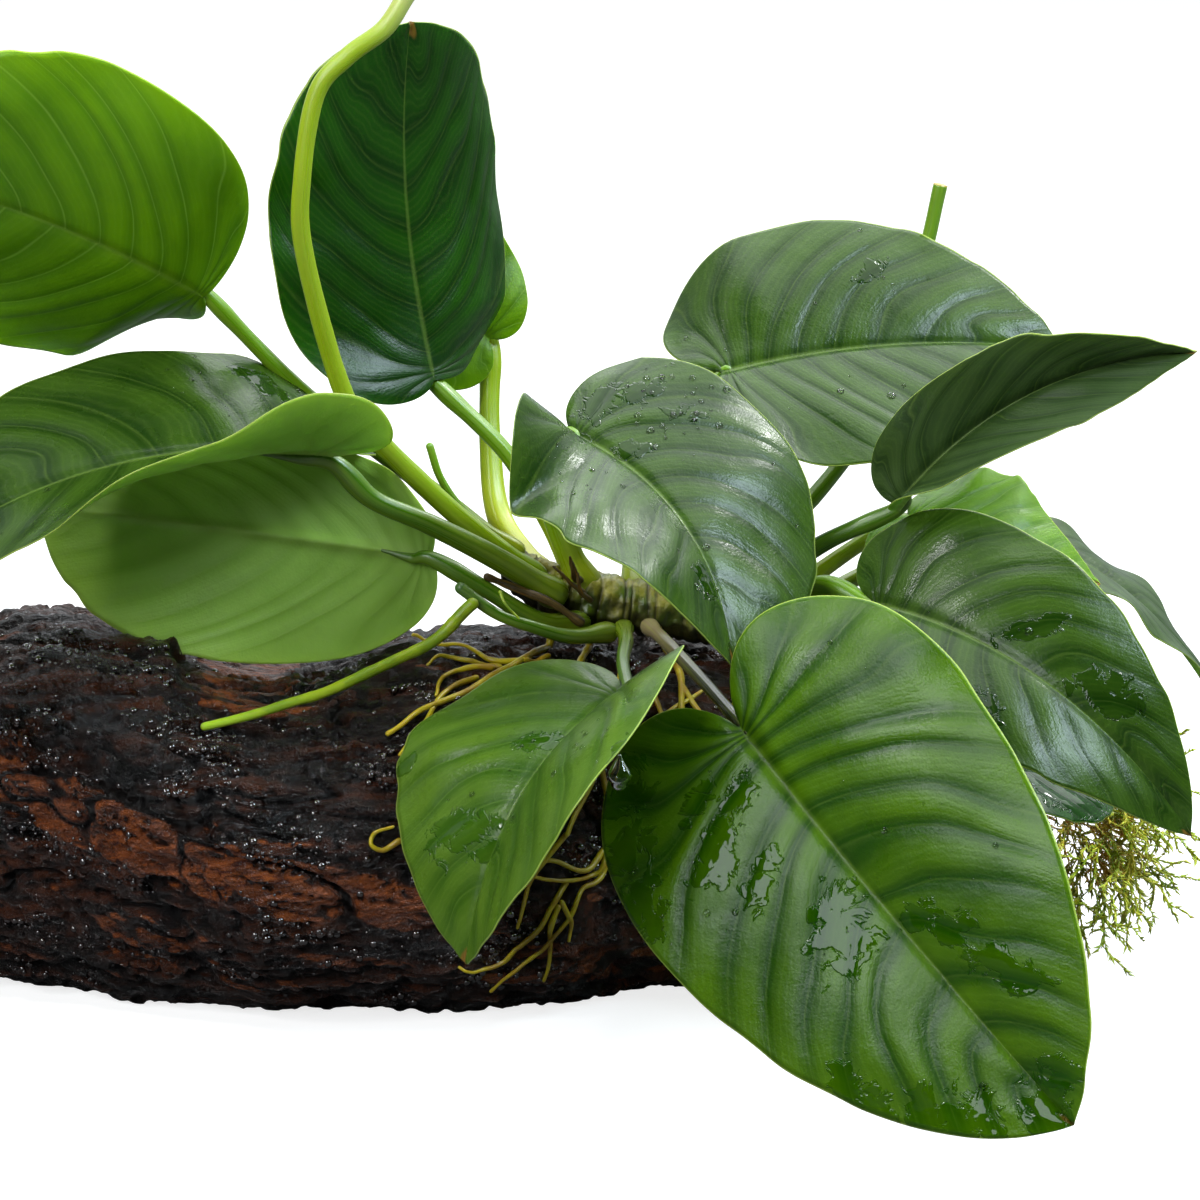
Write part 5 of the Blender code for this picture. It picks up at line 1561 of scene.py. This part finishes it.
def drop_ground():
    """The upper side of every leaf that faces up, with how crowded the drops are on it."""
    verts, faces, crowd, start = [], [], [], 0
    share, t = np.linspace(0.03, 0.97, 90), np.linspace(0.03, 0.96, 28)
    for name in DROP_SPOTS:
        leaf = LEAVES[name]
        for k in (0, 1):
            points, upwards, flat = bent(leaf, k, share, t)
            height, rib = relief(leaf, k, share, t, flat, points)
            points = points + upwards * (height + BLADE_THICKNESS / 2 - GROOVE_DEPTH * rib)[..., None]
            density = np.full(points.shape[:2], DROP_BASE)
            for side, spot_share, spot_t, size, strength in DROP_SPOTS[name]:
                spot, _, _ = bent(leaf, side, np.array([spot_share]), np.array([spot_t]))
                gap = np.linalg.norm(points - spot[0, 0], axis=-1)
                density = np.maximum(density, strength * (1 - smoothstep(0.4 * size, size, gap)))
            grid = np.arange(points[..., 0].size).reshape(points.shape[:2]) + start
            quads = np.stack([grid[:-1, :-1], grid[:-1, 1:], grid[1:, 1:], grid[1:, :-1]], axis=-1).reshape(-1, 4)
            ahead, across = points[41, 10] - points[40, 10], points[40, 11] - points[40, 10]
            if np.dot(np.cross(across, ahead), upwards[40, 10]) < 0:
                quads = quads[:, ::-1]
            faces += quads.tolist()
            verts.append(points.reshape(-1, 3))
            crowd.append(density.ravel())
            start += points[..., 0].size
    return new_piece("drop_ground", np.vstack(verts), faces, [], values={"crowd": np.concatenate(crowd)})


ground = drop_ground()
print("drops may lie on", len(ground.data.polygons), "faces")

# %% Scatter the drops
DROP_DENSITY = 60000.0

drop_tree, given, drop_out = node_tree("drop_nodes", [
    ("Density", "Float"), ("Smallest", "Float"), ("Largest", "Float"), ("Flatness", "Float"), ("Seed", "Int"),
    ("Material", "Material")])
crowded = put(drop_tree, "GeometryNodeInputNamedAttribute", settings={"data_type": "FLOAT"}, Name="crowd")
density = put(drop_tree, "ShaderNodeMath", settings={"operation": "MULTIPLY"}, _0=crowded, _1=given["Density"])
spots = drop_tree.nodes.new("GeometryNodeDistributePointsOnFaces")
drop_tree.links.new(given["Geometry"], spots.inputs["Mesh"])
drop_tree.links.new(density, spots.inputs["Density"])
drop_tree.links.new(given["Seed"], spots.inputs["Seed"])
bead = put(drop_tree, "GeometryNodeMeshUVSphere", Segments=8, Rings=5, Radius=1.0)
flat_bead = put(drop_tree, "GeometryNodeTransform", Geometry=bead,
                Scale=put(drop_tree, "ShaderNodeCombineXYZ", X=1.0, Y=1.0, Z=given["Flatness"]))
chance = put(drop_tree, "FunctionNodeRandomValue", settings={"data_type": "FLOAT"}, outlet=1, Seed=given["Seed"])
skewed = put(drop_tree, "ShaderNodeMath", settings={"operation": "POWER"}, _0=chance, _1=3.0)
bead_size = put(drop_tree, "ShaderNodeMapRange", Value=skewed, To_Min=given["Smallest"], To_Max=given["Largest"])
beads = put(drop_tree, "GeometryNodeInstanceOnPoints", Points=spots.outputs["Points"], Instance=flat_bead,
            Rotation=spots.outputs["Rotation"], Scale=bead_size)
real = put(drop_tree, "GeometryNodeRealizeInstances", Geometry=beads)
smooth = put(drop_tree, "GeometryNodeSetShadeSmooth", Geometry=real)
drop_tree.links.new(put(drop_tree, "GeometryNodeSetMaterial", Geometry=smooth, Material=given["Material"]), drop_out[0])

drops = made_by_nodes(ground, drop_tree, "water_drops", Density=DROP_DENSITY, Smallest=0.0003, Largest=0.0013,
                      Flatness=0.6, Seed=5, Material=water)
settle(drops, "leaf")

# %% Beads on the bark
# Wet bark sparkles because small beads of water sit on every ridge. They come from the same nodes.
BARK_BEAD_DENSITY = 165000.0


def bark_water():
    """Water over black wood: a bead too small to see through, so a dark glossy surface is enough."""
    material, tree, shader = new_material("bark_water")
    place = put(tree, "ShaderNodeTexCoord", outlet=3)
    tree.links.new(blend(tree, speckle(tree, place, 3.0), paint(10, 6, 5), paint(44, 26, 20)), shader.inputs["Base Color"])
    shader.inputs["Roughness"].default_value = 0.03
    shader.inputs["IOR"].default_value = 2.0
    return material


def bark_ground():
    """A copy of the log's skin that says how crowded the beads are: in drifts on its upper and front side."""
    mesh = bpy.data.objects["carved_driftwood_log"].data.copy()
    points = np.empty(len(mesh.vertices) * 3, np.float32)
    mesh.vertices.foreach_get("co", points)
    points = points.reshape(-1, 3) / MM
    x, y, z = points.T
    drifts = layered_grain(np.stack([x / 26, y / 12, (z + FIBRE_SLOPE * x) / 9], axis=-1), 2, 81)
    sides = smoothstep(22, 2, y) * smoothstep(3, 12, z)
    bare = np.empty(len(mesh.vertices), np.float32)
    mesh.attributes["bare"].data.foreach_get("value", bare)
    crowd = mesh.attributes.new("crowd", "FLOAT", "POINT")
    crowd.data.foreach_set("value", (sides * (0.06 + smoothstep(0.0, 0.5, drifts)) * (1 - bare)).astype(np.float32))
    source = bpy.data.objects.new("bark_ground", mesh)
    bpy.context.scene.collection.objects.link(source)
    return source


bark_beads = made_by_nodes(bark_ground(), drop_tree, "bark_beads", Density=BARK_BEAD_DENSITY, Smallest=0.0004,
                           Largest=0.0013, Flatness=0.7, Seed=9, Material=bark_water())
settle(bark_beads, "driftwood")

# %% A hanging drop
HANGING_DROP = (4.9, -72.0, 80.0)
HANGING_DROP_RADIUS = 3.2


def hanging_drop():
    """The large drop at the lobe of the front leaf: round below, drawn to a point above."""
    path = [(HANGING_DROP[0], HANGING_DROP[1], HANGING_DROP[2] + h) for h in np.linspace(4.2, -2.6, 30)]
    v = np.linspace(0, 1, 30)
    radius = HANGING_DROP_RADIUS * (0.12 + 0.88 * np.sin(np.pi * (0.08 + 0.76 * v) ** 1.5))
    verts, faces, uv = tube_arrays(path, radius, 28)
    return new_piece("hanging_drop", verts, faces, [water], uv=uv)


settle(hanging_drop(), "leaf")
